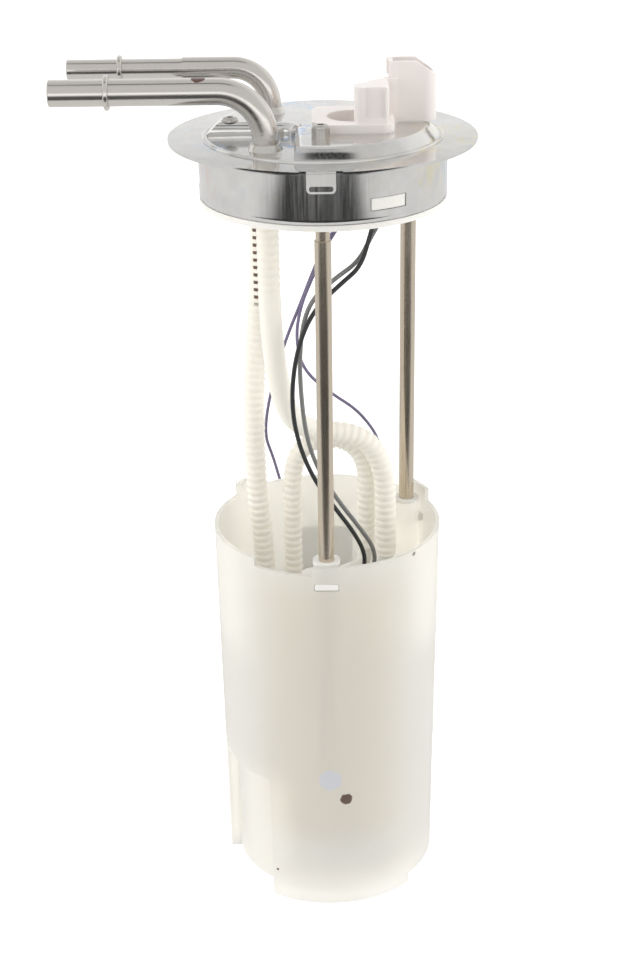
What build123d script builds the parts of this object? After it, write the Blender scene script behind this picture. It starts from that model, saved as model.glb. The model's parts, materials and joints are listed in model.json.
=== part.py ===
from build123d import *
import os
from math import atan2, cos, degrees, hypot, pi, radians, sin, tan

# Fuel pump module: a stamped tank cover with two line tubes and an electrical connector,
# guide rods that carry a spring-loaded reservoir, and in the reservoir the pump, the jet
# pump and, on its back, the level sensor. Millimetres; +Z is up, the front is -Y.
# The origin is on the axis of the cover, on the underside of its flange.
# Angles round the axis are counted from the front towards +X.

# ---- cover plate and skirt -----------------------------------------------------------
FLANGE_R = 75.0
SHEET = 1.5
PLATEAU_FOOT_R = 57.0
PLATEAU_TOP_R = 50.5
PLATEAU_RISE = 6.0
SHOULDER_R = 4.0
BEAD_WIDTH = 3.0
BEAD_RISE = 0.9
POCKET_RIGHT_X = -13.5
POCKET_BACK_Y = -2.5
POCKET_CORNER_R = 7.0
SKIRT_R = 60.6
SKIRT_DEPTH = 27.3
SKIRT_SHEET = 1.2
SEAT_COIN = 0.1
SNAP_ANGLES = (30.0, 150.0, 270.0)
SNAP_SPAN = 18.5
SNAP_TOP_Z = -15.5
SNAP_HEIGHT = 6.2
TAB_WIDTH = 13.4
TAB_X = -1.2
TAB_DROP = 9.5
TAB_TILT = 14.0
TAB_CORNER_R = 2.2
TAB_SLOT_WIDTH = 11.0
TAB_SLOT_HEIGHT = 2.4
TAB_SLOT_EDGE = 0.9
RELIEF_WIDTH = 3.2
RELIEF_DEPTH = 2.4

# ---- line tubes ----------------------------------------------------------------------
FEED_R = 6.3
FEED_X = -27.0
FEED_Y = -30.0
FEED_Z = 29.0
FEED_END_X = -127.0
FEED_BEAD_X = -100.0
FEED_BEAD_R = 8.2
RETURN_R = 4.75
RETURN_SWELL_R = 5.35
RETURN_SWELL_X = -68.0
RETURN_X = -25.5
RETURN_Y = 23.0
RETURN_Z = 29.5
RETURN_END_X = -124.6
RETURN_BEAD_X = -98.6
RETURN_BEAD_R = 6.6
TUBE_WALL = 1.0
TUBE_BEND_R = 22.0
RETURN_BEND_R = 18.0
TUBE_JOG_Z = -5.0
TUBE_JOG_R = 12.0
BEAD_RING = 2.5
COLLAR_RISE = 3.0
COLLAR_FLARE = 1.9
FEED_NIPPLE = (-27.2, -20.0)
RETURN_NIPPLE = (-32.2, 20.0)
NIPPLE_R = 4.2
NIPPLE_BORE_R = 3.0
FEED_NIPPLE_END_Z = -56.0
RETURN_NIPPLE_END_Z = -66.0

# ---- connector housing ---------------------------------------------------------------
BASE_THICK = 4.3
PORT_X = 14.5
PORT_Y = -7.0
PORT_R = 12.5
PORT_WALL = 1.8
PORT_DISH_DEPTH = 8.0
PORT_BORE_R = 7.5
PORT_BORE_LENGTH = 7.0
PORT_SEAL_R = 6.3
PORT_SEAL_BORE_R = 4.6
PORT_SEAL_THICK = 2.5
PORT_FLOOR = 1.2
PORT_VENT_R = 2.5
BASE_FRONT_Y = -27.0
BASE_BACK_Y = 15.0
BASE_LEFT_X = -5.0
BASE_RIGHT_X = 34.0
BASE_NOSE = 9.0
BASE_CORNER_R = 6.0
BOX_LEFT_X = 15.0
BOX_RIGHT_X = 31.0
BOX_FRONT_Y = -26.0
BOX_BACK_LEFT_Y = -13.0
BOX_BACK_RIGHT_Y = -3.0
BOX_TOP_Z = 28.9
BOX_CORNER_R = 3.5
BOX_EDGE_R = 1.0
BOX_COLUMN = 5.0
BOX_RIB = 1.5
BOX_PANEL_DEPTH = 1.0
BOX_PANEL_FOOT = 2.5
BOX_PORT_GAP = 0.5
TOWER_LEFT_X = 32.0
TOWER_RIGHT_X = 55.0
TOWER_FRONT_Y = -3.0
TOWER_BACK_Y = 10.0
TOWER_TOP_Z = 36.5
TOWER_SLOPE_X = 45.0
TOWER_SLOPE_Z = 29.5
TOWER_CORNER_R = 6.0
TOWER_WALL = 1.8
SOCKET_DEPTH = 17.0
LIP_HEIGHT = 7.0
LIP_PROUD = 1.0
TERMINALS = 4
TERMINAL_PITCH = 3.4
TERMINAL_WIDTH = 2.0
TERMINAL_THICK = 0.8
TERMINAL_STAND = 9.0
PLUG_DEPTH = 10.0

# ---- screws --------------------------------------------------------------------------
SCREW_SPOTS = ((-44.8, 3.6), (-1.0, -33.0), (34.0, 29.0))
SCREW_STANDOFFS = (0.0, 4.2, 0.0)
SCREW_HEAD_R = 3.7
SCREW_HEAD_RISE = 1.5
SCREW_WASHER_R = 4.1
SCREW_WASHER_THICK = 0.5
SCREW_NUT_R = 4.3
SCREW_R = 1.6
SCREW_LENGTH = 14.0
SCREW_BOSS_R = 2.9

# ---- rod carrier and guide rods ------------------------------------------------------
CARRIER_R = 60.5
CARRIER_THICK = 2.7
CARRIER_WALL = 1.5
CARRIER_WALL_RISE = 20.0
ROD_CIRCLE_R = 50.2
ROD_ANGLES = {"front": -0.8, "rear": 121.0}
ROD_R = 4.0
ROD_BORE_R = 2.8
ROD_NECK_R = 3.4
ROD_NECK_DROP = 7.0
ROD_SOCKET_RISE = 18.0
ROD_SOCKET_WALL = 2.4
CLIP_R = 4.9
CLIP_THICK = 1.0
CLIP_GROOVE = 0.6
ROD_TAIL = 3.0
WIRE_SLOT = (-8.0, 50.0, -9.0, 10.0)

# ---- reservoir -----------------------------------------------------------------------
RIM_Z = -203.7
RIM_R = 59.4
FOOT_R = 56.5
RESERVOIR_HEIGHT = 204.8
RESERVOIR_WALL = 2.0
RESERVOIR_FLOOR = 2.0
FOOT_HEIGHT = 5.5
FOOT_WIDTH = 6.0
FEET = ((-34.0, 49.0), (-170.0, -90.0), (105.0, 165.0))
RIM_DIP = 4.5
RIM_DIP_SPAN = (-39.0, -8.0)
LUG_RISE = 7.0
LUG_SPANS = ((112.0, 127.0), (-142.0, -124.0))
POCKET_SPAN = (-90.0, -34.0)
POCKET_DEPTH = 5.8
POCKET_HEIGHT = 74.0
WELL_R = 6.9
WELL_BORE_R = 5.2
WELL_DEPTH = 118.0
WELL_FLOOR = 2.0
GUIDE_DROP = 0.8
BUSH_FLANGE = 1.6
BUSH_LENGTH = 12.0
LATCH_WIDTH = 12.6
LATCH_HEIGHT = 4.0
LATCH_DROP = 8.0
SPRING_R = 4.4
SPRING_WIRE_R = 0.5
SPRING_TURNS = 9
RUN = 0.05
CLEAR = 0.3

# ---- pump ----------------------------------------------------------------------------
PUMP_X = 4.0
PUMP_Y = -8.0
PUMP_R = 19.0
PUMP_CASE_WALL = 1.2
PUMP_STAND = 11.0
PUMP_LENGTH = 140.0
PUMP_CAP = 6.0
PUMP_SPIGOT = 6.0
PUMP_SPIGOT_WALL = 3.0
INLET_SHIFT = 9.0
INLET_R = 3.0
OUTLET_X = -7.0
OUTLET_R = 4.6
OUTLET_BORE_R = 3.4
OUTLET_RISE = 12.0
MAGNET_WALL = 3.6
MAGNET_LENGTH = 50.0
MAGNET_SPAN = 130.0
AIR_GAP = 0.6
SHAFT_R = 1.6
COMMUTATOR_R = 8.0
COMMUTATOR_LENGTH = 9.0
IMPELLER_R = 15.0
IMPELLER_THICK = 4.0
IMPELLER_SLOTS = 18
SLOT_DEPTH = 2.6
ISOLATOR_WALL = 2.5
ISOLATOR_RISE = 12.0
ISOLATOR_FLOOR = 5.0
SEAT_WALL = 4.5
RETAINER_WALL = 3.0
RETAINER_HEIGHT = 8.0
RETAINER_ARM = 8.0
RETAINER_ANGLES = (75.0, 180.0, 285.0)
VALVE_R = 2.4
PUMP_PLUG = (12.0, 8.0, 7.0)
PUMP_PLUG_X = 12.5

# ---- fittings in the reservoir -------------------------------------------------------
FEED_LEG = (31.4, 6.0)
JET_RISER = (21.0, 14.0)
JET_LEG = (-17.7, 14.0)
RETURN_LEG = (-33.5, 15.0)
MANIFOLD_RISE = 13.0
MANIFOLD_R = 4.6
MANIFOLD_BARB = 25.0
JET_NIPPLE_R = 3.6
JET_BODY_R = 7.0
JET_BODY_HEIGHT = 16.0
JET_NIPPLE_RISE = 14.0
MIXER_R = 4.0
MIXER_LENGTH = 26.0
STANDPIPE_R = 5.0
STANDPIPE_DROP = 12.0
RETURN_BARB = 15.0
INLET_X = 28.0
INLET_Y = -28.0
INLET_R = 6.0
FLAP_R = 7.5
FLAP_THICK = 1.2
STRAINER_SIZE = (62.0, 54.0, 3.6)
STRAINER_X = 10.0
STRAINER_Y = -10.0
STRAINER_CORNER_R = 14.0

# ---- level sensor --------------------------------------------------------------------
PAD_FACE_Y = 61.0
PAD_HALF_WIDTH = 17.0
SENSOR_DROP = 32.3
SENSOR_HEIGHT = 56.0
SENSOR_HALF_WIDTH = 15.0
SENSOR_THICK = 6.0
CARD_THICK = 0.8
PIVOT_DROP = 32.0
PIVOT_R = 2.5
HUB_R = 7.0
HUB_THICK = 4.0
ARM_R = 1.1
ARM_LENGTH = 104.0
FLOAT_SIZE = (34.0, 15.0, 22.0)
FLOAT_CORNER_R = 5.0

# ---- hoses and wires -----------------------------------------------------------------
HOSE_WALL = 1.1
HOSE_FIT = 0.3
WIRE_R = 1.15
SENDER_WIRE_R = 0.85
BEND_SHARE = 0.45
HOSE_TOP_Z = -31.0
HOSE_FOOT_RISE = 10.0
WIRE_GAP = 0.6

# ---- derived places ------------------------------------------------------------------
PLATEAU_TOP_Z = SHEET + PLATEAU_RISE
PLATEAU_UNDER_Z = PLATEAU_TOP_Z - SHEET
BASE_TOP_Z = PLATEAU_TOP_Z + BASE_THICK
PORT_DISH_Z = BASE_TOP_Z - PORT_DISH_DEPTH
PORT_BORE_Z = PORT_DISH_Z - PORT_BORE_LENGTH
PORT_SEAL_Z = PORT_BORE_Z - PORT_SEAL_THICK
CARRIER_TOP_Z = -SKIRT_DEPTH
CARRIER_LOW_Z = CARRIER_TOP_Z - CARRIER_THICK
ROD_TOP_Z = CARRIER_LOW_Z + ROD_SOCKET_RISE
ROD_NECK_Z = CARRIER_LOW_Z - ROD_NECK_DROP
GROUND_Z = RIM_Z - RESERVOIR_HEIGHT
WALL_LOW_Z = GROUND_Z + FOOT_HEIGHT
FLOOR_Z = WALL_LOW_Z + RESERVOIR_FLOOR
GUIDE_TOP_Z = RIM_Z - GUIDE_DROP
BUSH_LOW_Z = GUIDE_TOP_Z - BUSH_LENGTH
CLIP_TOP_Z = BUSH_LOW_Z - CLEAR
CLIP_LOW_Z = CLIP_TOP_Z - CLIP_THICK
ROD_LOW_Z = CLIP_LOW_Z - ROD_TAIL
WELL_LOW_Z = GUIDE_TOP_Z - WELL_DEPTH
WELL_FLOOR_Z = WELL_LOW_Z + WELL_FLOOR
LATCH_TOP_Z = GUIDE_TOP_Z - LATCH_DROP
POCKET_TOP_Z = GROUND_Z + POCKET_HEIGHT
PUMP_LOW_Z = FLOOR_Z + PUMP_STAND
PUMP_TOP_Z = PUMP_LOW_Z + PUMP_LENGTH
MANIFOLD_Z = PUMP_TOP_Z + MANIFOLD_RISE
MANIFOLD_BARB_TOP_Z = MANIFOLD_Z + MANIFOLD_BARB
HOSE_FOOT_Z = MANIFOLD_Z + HOSE_FOOT_RISE
STANDPIPE_TOP_Z = PUMP_TOP_Z - STANDPIPE_DROP
RETURN_BARB_TOP_Z = STANDPIPE_TOP_Z + RETURN_BARB
SENSOR_TOP_Z = RIM_Z - SENSOR_DROP
PIVOT_Z = SENSOR_TOP_Z - PIVOT_DROP
CASE_TOP_Z = PUMP_TOP_Z - PUMP_CAP
CASE_LOW_Z = PUMP_LOW_Z + PUMP_CAP
CASE_BORE_R = PUMP_R - PUMP_CASE_WALL
OUTLET_TOP_Z = PUMP_TOP_Z + OUTLET_RISE
HOSE_R = NIPPLE_R + HOSE_FIT + HOSE_WALL
HOSE_BORE_R = NIPPLE_R + HOSE_FIT
JET_HOSE_R = JET_NIPPLE_R + HOSE_FIT + HOSE_WALL
JET_HOSE_BORE_R = JET_NIPPLE_R + HOSE_FIT
TOWER_MID_X = (TOWER_LEFT_X + TOWER_RIGHT_X) / 2
TOWER_MID_Y = (TOWER_FRONT_Y + TOWER_BACK_Y) / 2
SOCKET_FLOOR_Z = TOWER_SLOPE_Z - SOCKET_DEPTH
PLUG_TOP_Z = -CLEAR
PLUG_LOW_Z = PLUG_TOP_Z - PLUG_DEPTH
WIRE_TOP_Z = PLUG_LOW_Z - WIRE_GAP
PUMP_WIRE_END_Z = PUMP_TOP_Z + PUMP_PLUG[2] + WIRE_GAP
SENDER_WIRE_END_Z = SENSOR_TOP_Z + WIRE_GAP
FIRST_TERMINAL_X = TOWER_MID_X - TERMINAL_PITCH * (TERMINALS - 1) / 2
SENSOR_FACE_Y = PAD_FACE_Y + SENSOR_THICK
HUB_Y = SENSOR_FACE_Y + CARD_THICK + CLEAR
ARM_Y = HUB_Y + HUB_THICK + ARM_R
JET_BODY_TOP_Z = FLOOR_Z + JET_BODY_HEIGHT
JET_NIPPLE_TOP_Z = JET_BODY_TOP_Z + JET_NIPPLE_RISE

# ---- routes: points chosen along each hose and wire ----------------------------------
def hung(low, points):
    """Wire's route from the inner plug down to a height; its points' heights are shares of that way."""
    return tuple((x, y, WIRE_TOP_Z + share * (low - WIRE_TOP_Z)) for x, y, share in points)


def above(level, points):
    """Stretch of a hose's route whose heights are counted from a level."""
    return tuple((x, y, level + rise) for x, y, rise in points)


RETURN_HOSE_ROUTE = (
    (*RETURN_NIPPLE, HOSE_TOP_Z), (*RETURN_NIPPLE, HOSE_TOP_Z - 45.0),
    *above(STANDPIPE_TOP_Z, ((-35.6, 17.6, 154.0), (-37.8, 15.0, 112.0), (-37.2, 14.6, 68.0))),
    (*RETURN_LEG, STANDPIPE_TOP_Z + 33.0), (*RETURN_LEG, STANDPIPE_TOP_Z + CLEAR),
)
FEED_HOSE_ROUTE = (
    (*FEED_NIPPLE, HOSE_TOP_Z), (*FEED_NIPPLE, HOSE_TOP_Z - 37.0),
    *above(HOSE_FOOT_Z, (
        (-26.2, -18.0, 129.0), (-23.5, -12.5, 103.0), (-18.5, -7.0, 84.0), (-6.5, -1.5, 73.5),
        (9.5, 2.5, 72.0), (22.5, 5.0, 65.5), (30.0, 6.0, 50.0), (*FEED_LEG, 30.0), (*FEED_LEG, 0.0),
    )),
)
JET_HOSE_ROUTE = (
    *above(HOSE_FOOT_Z, (
        (*JET_RISER, 0.0), (21.4, 14.2, 28.5), (20.8, 13.6, 52.8), (9.7, 12.6, 64.2), (-6.4, 12.5, 64.2),
        (-17.5, 13.6, 52.8), (-18.5, 14.6, 26.0), (-18.3, 15.0, -31.0), (*JET_LEG, -98.0),
    )),
    (*JET_LEG, JET_BODY_TOP_Z + CLEAR),
)
BLACK_WIRE_ROUTE = hung(PUMP_WIRE_END_Z, (
    (FIRST_TERMINAL_X, TOWER_MID_Y, 0.0), (36.5, 1.0, 0.039), (27.0, -3.5, 0.095),
    (22.5, -5.0, 0.165), (18.0, -7.0, 0.227), (8.5, -14.0, 0.253), (-3.0, -22.5, 0.288),
    (-11.0, -27.0, 0.342), (-16.0, -28.0, 0.428), (-17.0, -26.5, 0.523), (-13.5, -25.0, 0.61),
    (-6.5, -25.0, 0.687), (3.6, -24.0, 0.756), (14.0, -20.0, 0.828), (20.0, -16.5, 0.89),
    (18.5, -12.0, 0.946), (14.5, PUMP_Y, 1.0),
))
GREY_WIRE_ROUTE = hung(PUMP_WIRE_END_Z, (
    (FIRST_TERMINAL_X + TERMINAL_PITCH, TOWER_MID_Y, 0.0), (40.5, 2.5, 0.048), (31.0, 0.5, 0.113),
    (23.5, 0.0, 0.169), (17.0, -3.0, 0.221), (6.0, -12.5, 0.242), (-5.0, -20.0, 0.273),
    (-10.5, -23.0, 0.32), (-12.8, -23.2, 0.402), (-12.4, -22.0, 0.497), (-10.0, -20.3, 0.597),
    (-4.0, -19.3, 0.679), (6.0, -17.0, 0.756), (17.0, -13.0, 0.83), (25.5, -9.0, 0.895),
    (24.0, -6.5, 0.955), (19.0, PUMP_Y, 1.0),
))
SENDER_WIRE_ROUTE = hung(SENDER_WIRE_END_Z, (
    (FIRST_TERMINAL_X + 2 * TERMINAL_PITCH, TOWER_MID_Y, 0.0), (44.0, 7.0, 0.045), (28.0, 8.2, 0.094),
    (12.0, 7.5, 0.13), (1.5, 6.5, 0.188), (-6.0, 5.0, 0.263), (-12.5, 5.5, 0.339), (-19.5, 9.0, 0.419),
    (-25.5, 19.0, 0.517), (-31.0, 33.0, 0.633), (-33.0, 44.0, 0.727), (-29.5, 53.0, 0.793),
    (-27.5, 61.5, 0.847), (-24.0, 65.0, 0.918), (-13.0, 65.5, 0.963), (-6.0, 64.0, 1.0),
))
GROUND_WIRE_ROUTE = hung(SENDER_WIRE_END_Z, (
    (FIRST_TERMINAL_X + 3 * TERMINAL_PITCH, TOWER_MID_Y, 0.0), (46.5, 4.5, 0.041), (30.0, 4.6, 0.083),
    (13.0, 2.8, 0.121), (2.5, 1.5, 0.183), (-5.5, 0.5, 0.263), (-12.0, 3.0, 0.335),
    (-15.0, 7.0, 0.419), (-11.5, 16.0, 0.513), (3.5, 25.5, 0.588), (16.5, 34.0, 0.642),
    (26.0, 47.0, 0.718), (29.5, 56.5, 0.771), (28.0, 63.5, 0.842), (20.0, 66.0, 0.918),
    (11.0, 65.5, 0.963), (6.0, 64.0, 1.0),
))


# ---- shape helpers -------------------------------------------------------------------
def polar(radius, angle):
    """X and Y of a point at a radius and an angle counted from the front towards +X."""
    return radius * sin(radians(angle)), -radius * cos(radians(angle))


def disc(radius, z_low, z_high, x=0.0, y=0.0):
    """Upright cylinder between two heights."""
    return Pos(x, y, z_low) * Cylinder(radius, z_high - z_low, align=(Align.CENTER, Align.CENTER, Align.MIN))


def ring(outer, inner, z_low, z_high, x=0.0, y=0.0):
    """Upright ring between two heights."""
    return disc(outer, z_low, z_high, x, y) - disc(inner, z_low, z_high, x, y)


def taper(r_low, r_high, z_low, z_high, x=0.0, y=0.0):
    """Upright frustum between two heights."""
    standing = (Align.CENTER, Align.CENTER, Align.MIN)
    return Pos(x, y, z_low) * Cone(r_low, r_high, z_high - z_low, align=standing)


def block(x_low, x_high, y_low, y_high, z_low, z_high, corner=0.0):
    """Upright block with optional rounded upright corners."""
    middle = Pos((x_low + x_high) / 2, (y_low + y_high) / 2, z_low)
    width, depth = x_high - x_low, y_high - y_low
    outline = RectangleRounded(width, depth, corner) if corner else Rectangle(width, depth)
    return middle * extrude(outline, z_high - z_low)


def sector(r_low, r_high, start, stop, z_low, z_high):
    """Part of a ring between two angles."""
    middle = Pos((r_low + r_high) / 2, (z_low + z_high) / 2)
    profile = Plane.XZ * middle * Rectangle(r_high - r_low, z_high - z_low)
    return Rot(0, 0, start - 90) * revolve(profile, Axis.Z, stop - start)


def along_x(radius, x_low, x_high, y, z):
    """Cylinder lying along X."""
    turned = Rot(0, 90, 0) * Cylinder(radius, x_high - x_low, align=(Align.CENTER, Align.CENTER, Align.MIN))
    return Pos(x_low, y, z) * turned


def along_y(radius, y_low, y_high, x, z):
    """Cylinder lying along Y."""
    turned = Rot(-90, 0, 0) * Cylinder(radius, y_high - y_low, align=(Align.CENTER, Align.CENTER, Align.MIN))
    return Pos(x, y_low, z) * turned


def swept(radius, points, radii):
    """Round bar along straight runs joined by tangent arcs."""
    path = FilletPolyline(*points, radius=radii)
    return sweep(Plane(origin=path @ 0, z_dir=path % 0) * Circle(radius), path=path)


def route_radii(points):
    """Largest arc at each corner of a route, from its shorter run and its turn."""
    spots = [Vector(*point) for point in points]
    radii = []
    for before, here, after in zip(spots, spots[1:], spots[2:]):
        first, second = here - before, after - here
        half_turn = radians(first.get_angle(second)) / 2
        radii.append(BEND_SHARE * min(first.length, second.length) / tan(half_turn))
    return radii


def route_length(points, radii):
    """Length of a route with its corners rounded."""
    return FilletPolyline(*points, radius=radii).length


def flexible(name, points, radius, bore=0.0):
    """Hose or wire along its route; prints its arcs and compares its volume with section times length."""
    radii = route_radii(points)
    body = swept(radius, points, radii)
    if bore:
        body -= swept(bore, points, radii)
    length = route_length(points, radii)
    section = pi * (radius ** 2 - bore ** 2)
    share = body.volume / (section * length)
    arcs = [round(radius) for radius in radii]
    print(name, "length", round(length, 1), "radii", arcs, "volume share", round(share, 4))
    return body


def reservoir_radius(z):
    """Outer radius of the tapered reservoir at a height."""
    return FOOT_R + (RIM_R - FOOT_R) * (z - GROUND_Z) / RESERVOIR_HEIGHT


# ---- cover ---------------------------------------------------------------------------
def plateau_form(offset):
    """Raised field of the cover as a solid; offset is how far inside the outer skin it lies."""
    low, high = (SHEET, PLATEAU_TOP_Z) if not offset else (0.0, PLATEAU_UNDER_Z)
    field = taper(PLATEAU_FOOT_R - offset, PLATEAU_TOP_R - offset, low, high)
    field -= block(
        -FLANGE_R, POCKET_RIGHT_X + offset, -FLANGE_R, POCKET_BACK_Y + offset, low, high,
        POCKET_CORNER_R + offset,
    )
    return fillet(field.edges().group_by(Axis.Z)[-1], SHOULDER_R - offset)


def port_opening(z_low, z_high, grow=0.0):
    """Opening of the cover below the connector housing."""
    cup = disc(PORT_R + PORT_WALL + grow, z_low, z_high, PORT_X, PORT_Y)
    return cup + tower_foot(z_low, z_high, grow)


def tower_foot(z_low, z_high, grow=0.0):
    """Foot of the connector tower, which passes through the cover."""
    half = TERMINAL_PITCH * TERMINALS / 2 + TOWER_WALL + grow
    return block(
        TOWER_MID_X - half, TOWER_MID_X + half, TOWER_FRONT_Y + 1 - grow, TOWER_BACK_Y - 1 + grow,
        z_low, z_high, 2.0,
    )


def make_cover_plate():
    """Stamped flange with its raised field, side pocket, bead and bent front tab."""
    plate = disc(FLANGE_R, 0, SHEET)
    bead = ring(PLATEAU_FOOT_R + BEAD_WIDTH / 2, PLATEAU_FOOT_R - BEAD_WIDTH / 2, 0, SHEET + BEAD_RISE)
    plate += fillet(bead.edges().group_by(Axis.Z)[-1], BEAD_RISE * 0.9)
    plate += plateau_form(0.0)
    plate -= plateau_form(SHEET)
    plate -= disc(SKIRT_R + CLEAR, -1, SEAT_COIN)
    for side in (-1, 1):
        x_mid = TAB_X + side * (TAB_WIDTH + RELIEF_WIDTH) / 2
        plate -= block(
            x_mid - RELIEF_WIDTH / 2, x_mid + RELIEF_WIDTH / 2,
            -FLANGE_R - 1, -FLANGE_R + RELIEF_DEPTH, -1, SHEET + 1,
        )
    plate += make_front_tab()
    plate -= disc(FEED_R, -1, PLATEAU_TOP_Z + 1, FEED_X, FEED_Y)
    plate -= disc(RETURN_SWELL_R, -1, PLATEAU_TOP_Z + 1, RETURN_X, RETURN_Y)
    for x, y in SCREW_SPOTS:
        plate -= disc(SCREW_R, -1, PLATEAU_TOP_Z + 1, x, y)
    return plate - port_opening(-1, PLATEAU_TOP_Z + 1, CLEAR / 2)


def make_front_tab():
    """Tab at the front edge, bent down and a little outwards over the tank ring, with a slot."""
    left, right = TAB_X - TAB_WIDTH / 2, TAB_X + TAB_WIDTH / 2
    root = block(left, right, -FLANGE_R, -FLANGE_R + RELIEF_DEPTH + 1, 0, SHEET)
    hanging = block(left, right, -SHEET, 0, SHEET - TAB_DROP, 0)
    hanging = fillet(hanging.edges().filter_by(Axis.Y).group_by(Axis.Z)[0], TAB_CORNER_R)
    slot_low = SHEET - TAB_DROP + TAB_SLOT_EDGE
    slot = block(
        TAB_X - TAB_SLOT_WIDTH / 2, TAB_X + TAB_SLOT_WIDTH / 2, -SHEET - 1, 1,
        slot_low, slot_low + TAB_SLOT_HEIGHT,
    )
    slot = fillet(slot.edges().filter_by(Axis.Y), TAB_SLOT_HEIGHT / 2 - 0.1)
    hanging += along_x(SHEET, left, right, 0, 0) & block(left, right, -SHEET, 0, -SHEET, SHEET)
    return root + Pos(0, -FLANGE_R, 0) * Rot(-TAB_TILT, 0, 0) * (hanging - slot)


def make_skirt_ring():
    """Drawn ring below the flange, with three snap windows and a lip turned inwards."""
    inner = SKIRT_R - SKIRT_SHEET
    skirt = ring(SKIRT_R, inner, CARRIER_TOP_Z, SEAT_COIN)
    lower_edge = skirt.edges().group_by(Axis.Z)[0].sort_by(SortBy.LENGTH)[-1]
    skirt = fillet(lower_edge, SKIRT_SHEET * 0.7)
    for angle in SNAP_ANGLES:
        half = SNAP_SPAN / 2
        low = SNAP_TOP_Z - SNAP_HEIGHT
        skirt -= sector(inner - 1, SKIRT_R + 1, angle - half, angle + half, low, SNAP_TOP_Z)
    return skirt


def make_line_tube(bent, nipple_end_z, radius, bend, line_end_x, swell=0.0, swell_x=0.0):
    """Steel line tube bent through the cover, with a narrower nipple for its hose."""
    radii = [bend, TUBE_JOG_R, TUBE_JOG_R]
    full = swell or radius
    low = bent[-1][2]
    if swell:
        start = (swell_x, *bent[0][1:])
        tube = swept(full, (start, *bent[1:]), radii)
        tube += along_x(radius, line_end_x, swell_x, *bent[0][1:])
    else:
        tube = swept(full, bent, radii)
    tube += taper(NIPPLE_R, full, low - 2, low, *bent[-1][:2])
    tube += disc(NIPPLE_R, nipple_end_z, low - 2, *bent[-1][:2])
    return tube


def tube_bore(bent, nipple_end_z, radius, bend):
    """Bore that follows a line tube."""
    hollow = swept(radius, bent, [bend, TUBE_JOG_R, TUBE_JOG_R])
    return hollow + disc(NIPPLE_BORE_R, nipple_end_z - 1, bent[-1][2], *bent[-1][:2])


def tube_bead(radius, x_mid, y, z):
    """Rolled bead that stops a quick connector."""
    bead = along_x(radius, x_mid - BEAD_RING / 2, x_mid + BEAD_RING / 2, y, z)
    return fillet(bead.edges(), BEAD_RING * 0.4)


def line_bends(end_x, x, y, z, nipple):
    """Corner points of a line tube, from its free end to its nipple."""
    return (end_x, y, z), (x, y, z), (x, y, TUBE_JOG_Z), (*nipple, -21.0), (*nipple, CARRIER_TOP_Z + 1)


def make_feed_tube():
    """Larger tube, the supply line to the engine."""
    bent = line_bends(FEED_END_X, FEED_X, FEED_Y, FEED_Z, FEED_NIPPLE)
    tube = make_line_tube(bent, FEED_NIPPLE_END_Z, FEED_R, TUBE_BEND_R, FEED_END_X)
    tube += tube_bead(FEED_BEAD_R, FEED_BEAD_X, FEED_Y, FEED_Z)
    tube = chamfer(tube.edges().group_by(Axis.X)[0], TUBE_WALL * 0.5)
    return tube - tube_bore(bent, FEED_NIPPLE_END_Z, FEED_R - TUBE_WALL, TUBE_BEND_R)


def make_return_tube():
    """Smaller tube, the return line, swollen towards its bend."""
    bent = line_bends(RETURN_END_X, RETURN_X, RETURN_Y, RETURN_Z, RETURN_NIPPLE)
    tube = make_line_tube(
        bent, RETURN_NIPPLE_END_Z, RETURN_R, RETURN_BEND_R, RETURN_END_X, RETURN_SWELL_R, RETURN_SWELL_X
    )
    tube += tube_bead(RETURN_BEAD_R, RETURN_BEAD_X, RETURN_Y, RETURN_Z)
    tube = chamfer(tube.edges().group_by(Axis.X)[0], TUBE_WALL * 0.5)
    return tube - tube_bore(bent, RETURN_NIPPLE_END_Z, RETURN_R - TUBE_WALL, RETURN_BEND_R)


def make_braze_collar(radius, x, y, z_low):
    """Fillet of braze round a tube where it passes the cover."""
    return taper(radius + COLLAR_FLARE, radius + COLLAR_FLARE / 3, z_low, z_low + COLLAR_RISE, x, y) - disc(
        radius, z_low, z_low + COLLAR_RISE, x, y
    )


def make_screws():
    """Screws that hold the rod carrier: low round heads, the front one raised on a hexagon."""
    screws = []
    for (x, y), standoff in zip(SCREW_SPOTS, SCREW_STANDOFFS):
        washer_low = PLATEAU_TOP_Z + standoff
        head_low = washer_low + SCREW_WASHER_THICK
        screw = disc(SCREW_WASHER_R, washer_low, head_low, x, y)
        head = disc(SCREW_HEAD_R, head_low, head_low + SCREW_HEAD_RISE, x, y)
        head = fillet(head.edges().group_by(Axis.Z)[-1], SCREW_HEAD_RISE * 0.85)
        recess = extrude(RegularPolygon(SCREW_HEAD_R * 0.45, 6), SCREW_HEAD_RISE)
        screw += head - Pos(x, y, head_low + SCREW_HEAD_RISE * 0.3) * recess
        screw += disc(SCREW_R, PLATEAU_TOP_Z - SCREW_LENGTH, PLATEAU_TOP_Z, x, y)
        if standoff:
            nut = Pos(x, y, PLATEAU_TOP_Z) * extrude(RegularPolygon(SCREW_NUT_R, 6), standoff)
            screw += nut
        screws.append(screw)
    return Compound(children=screws)


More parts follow.
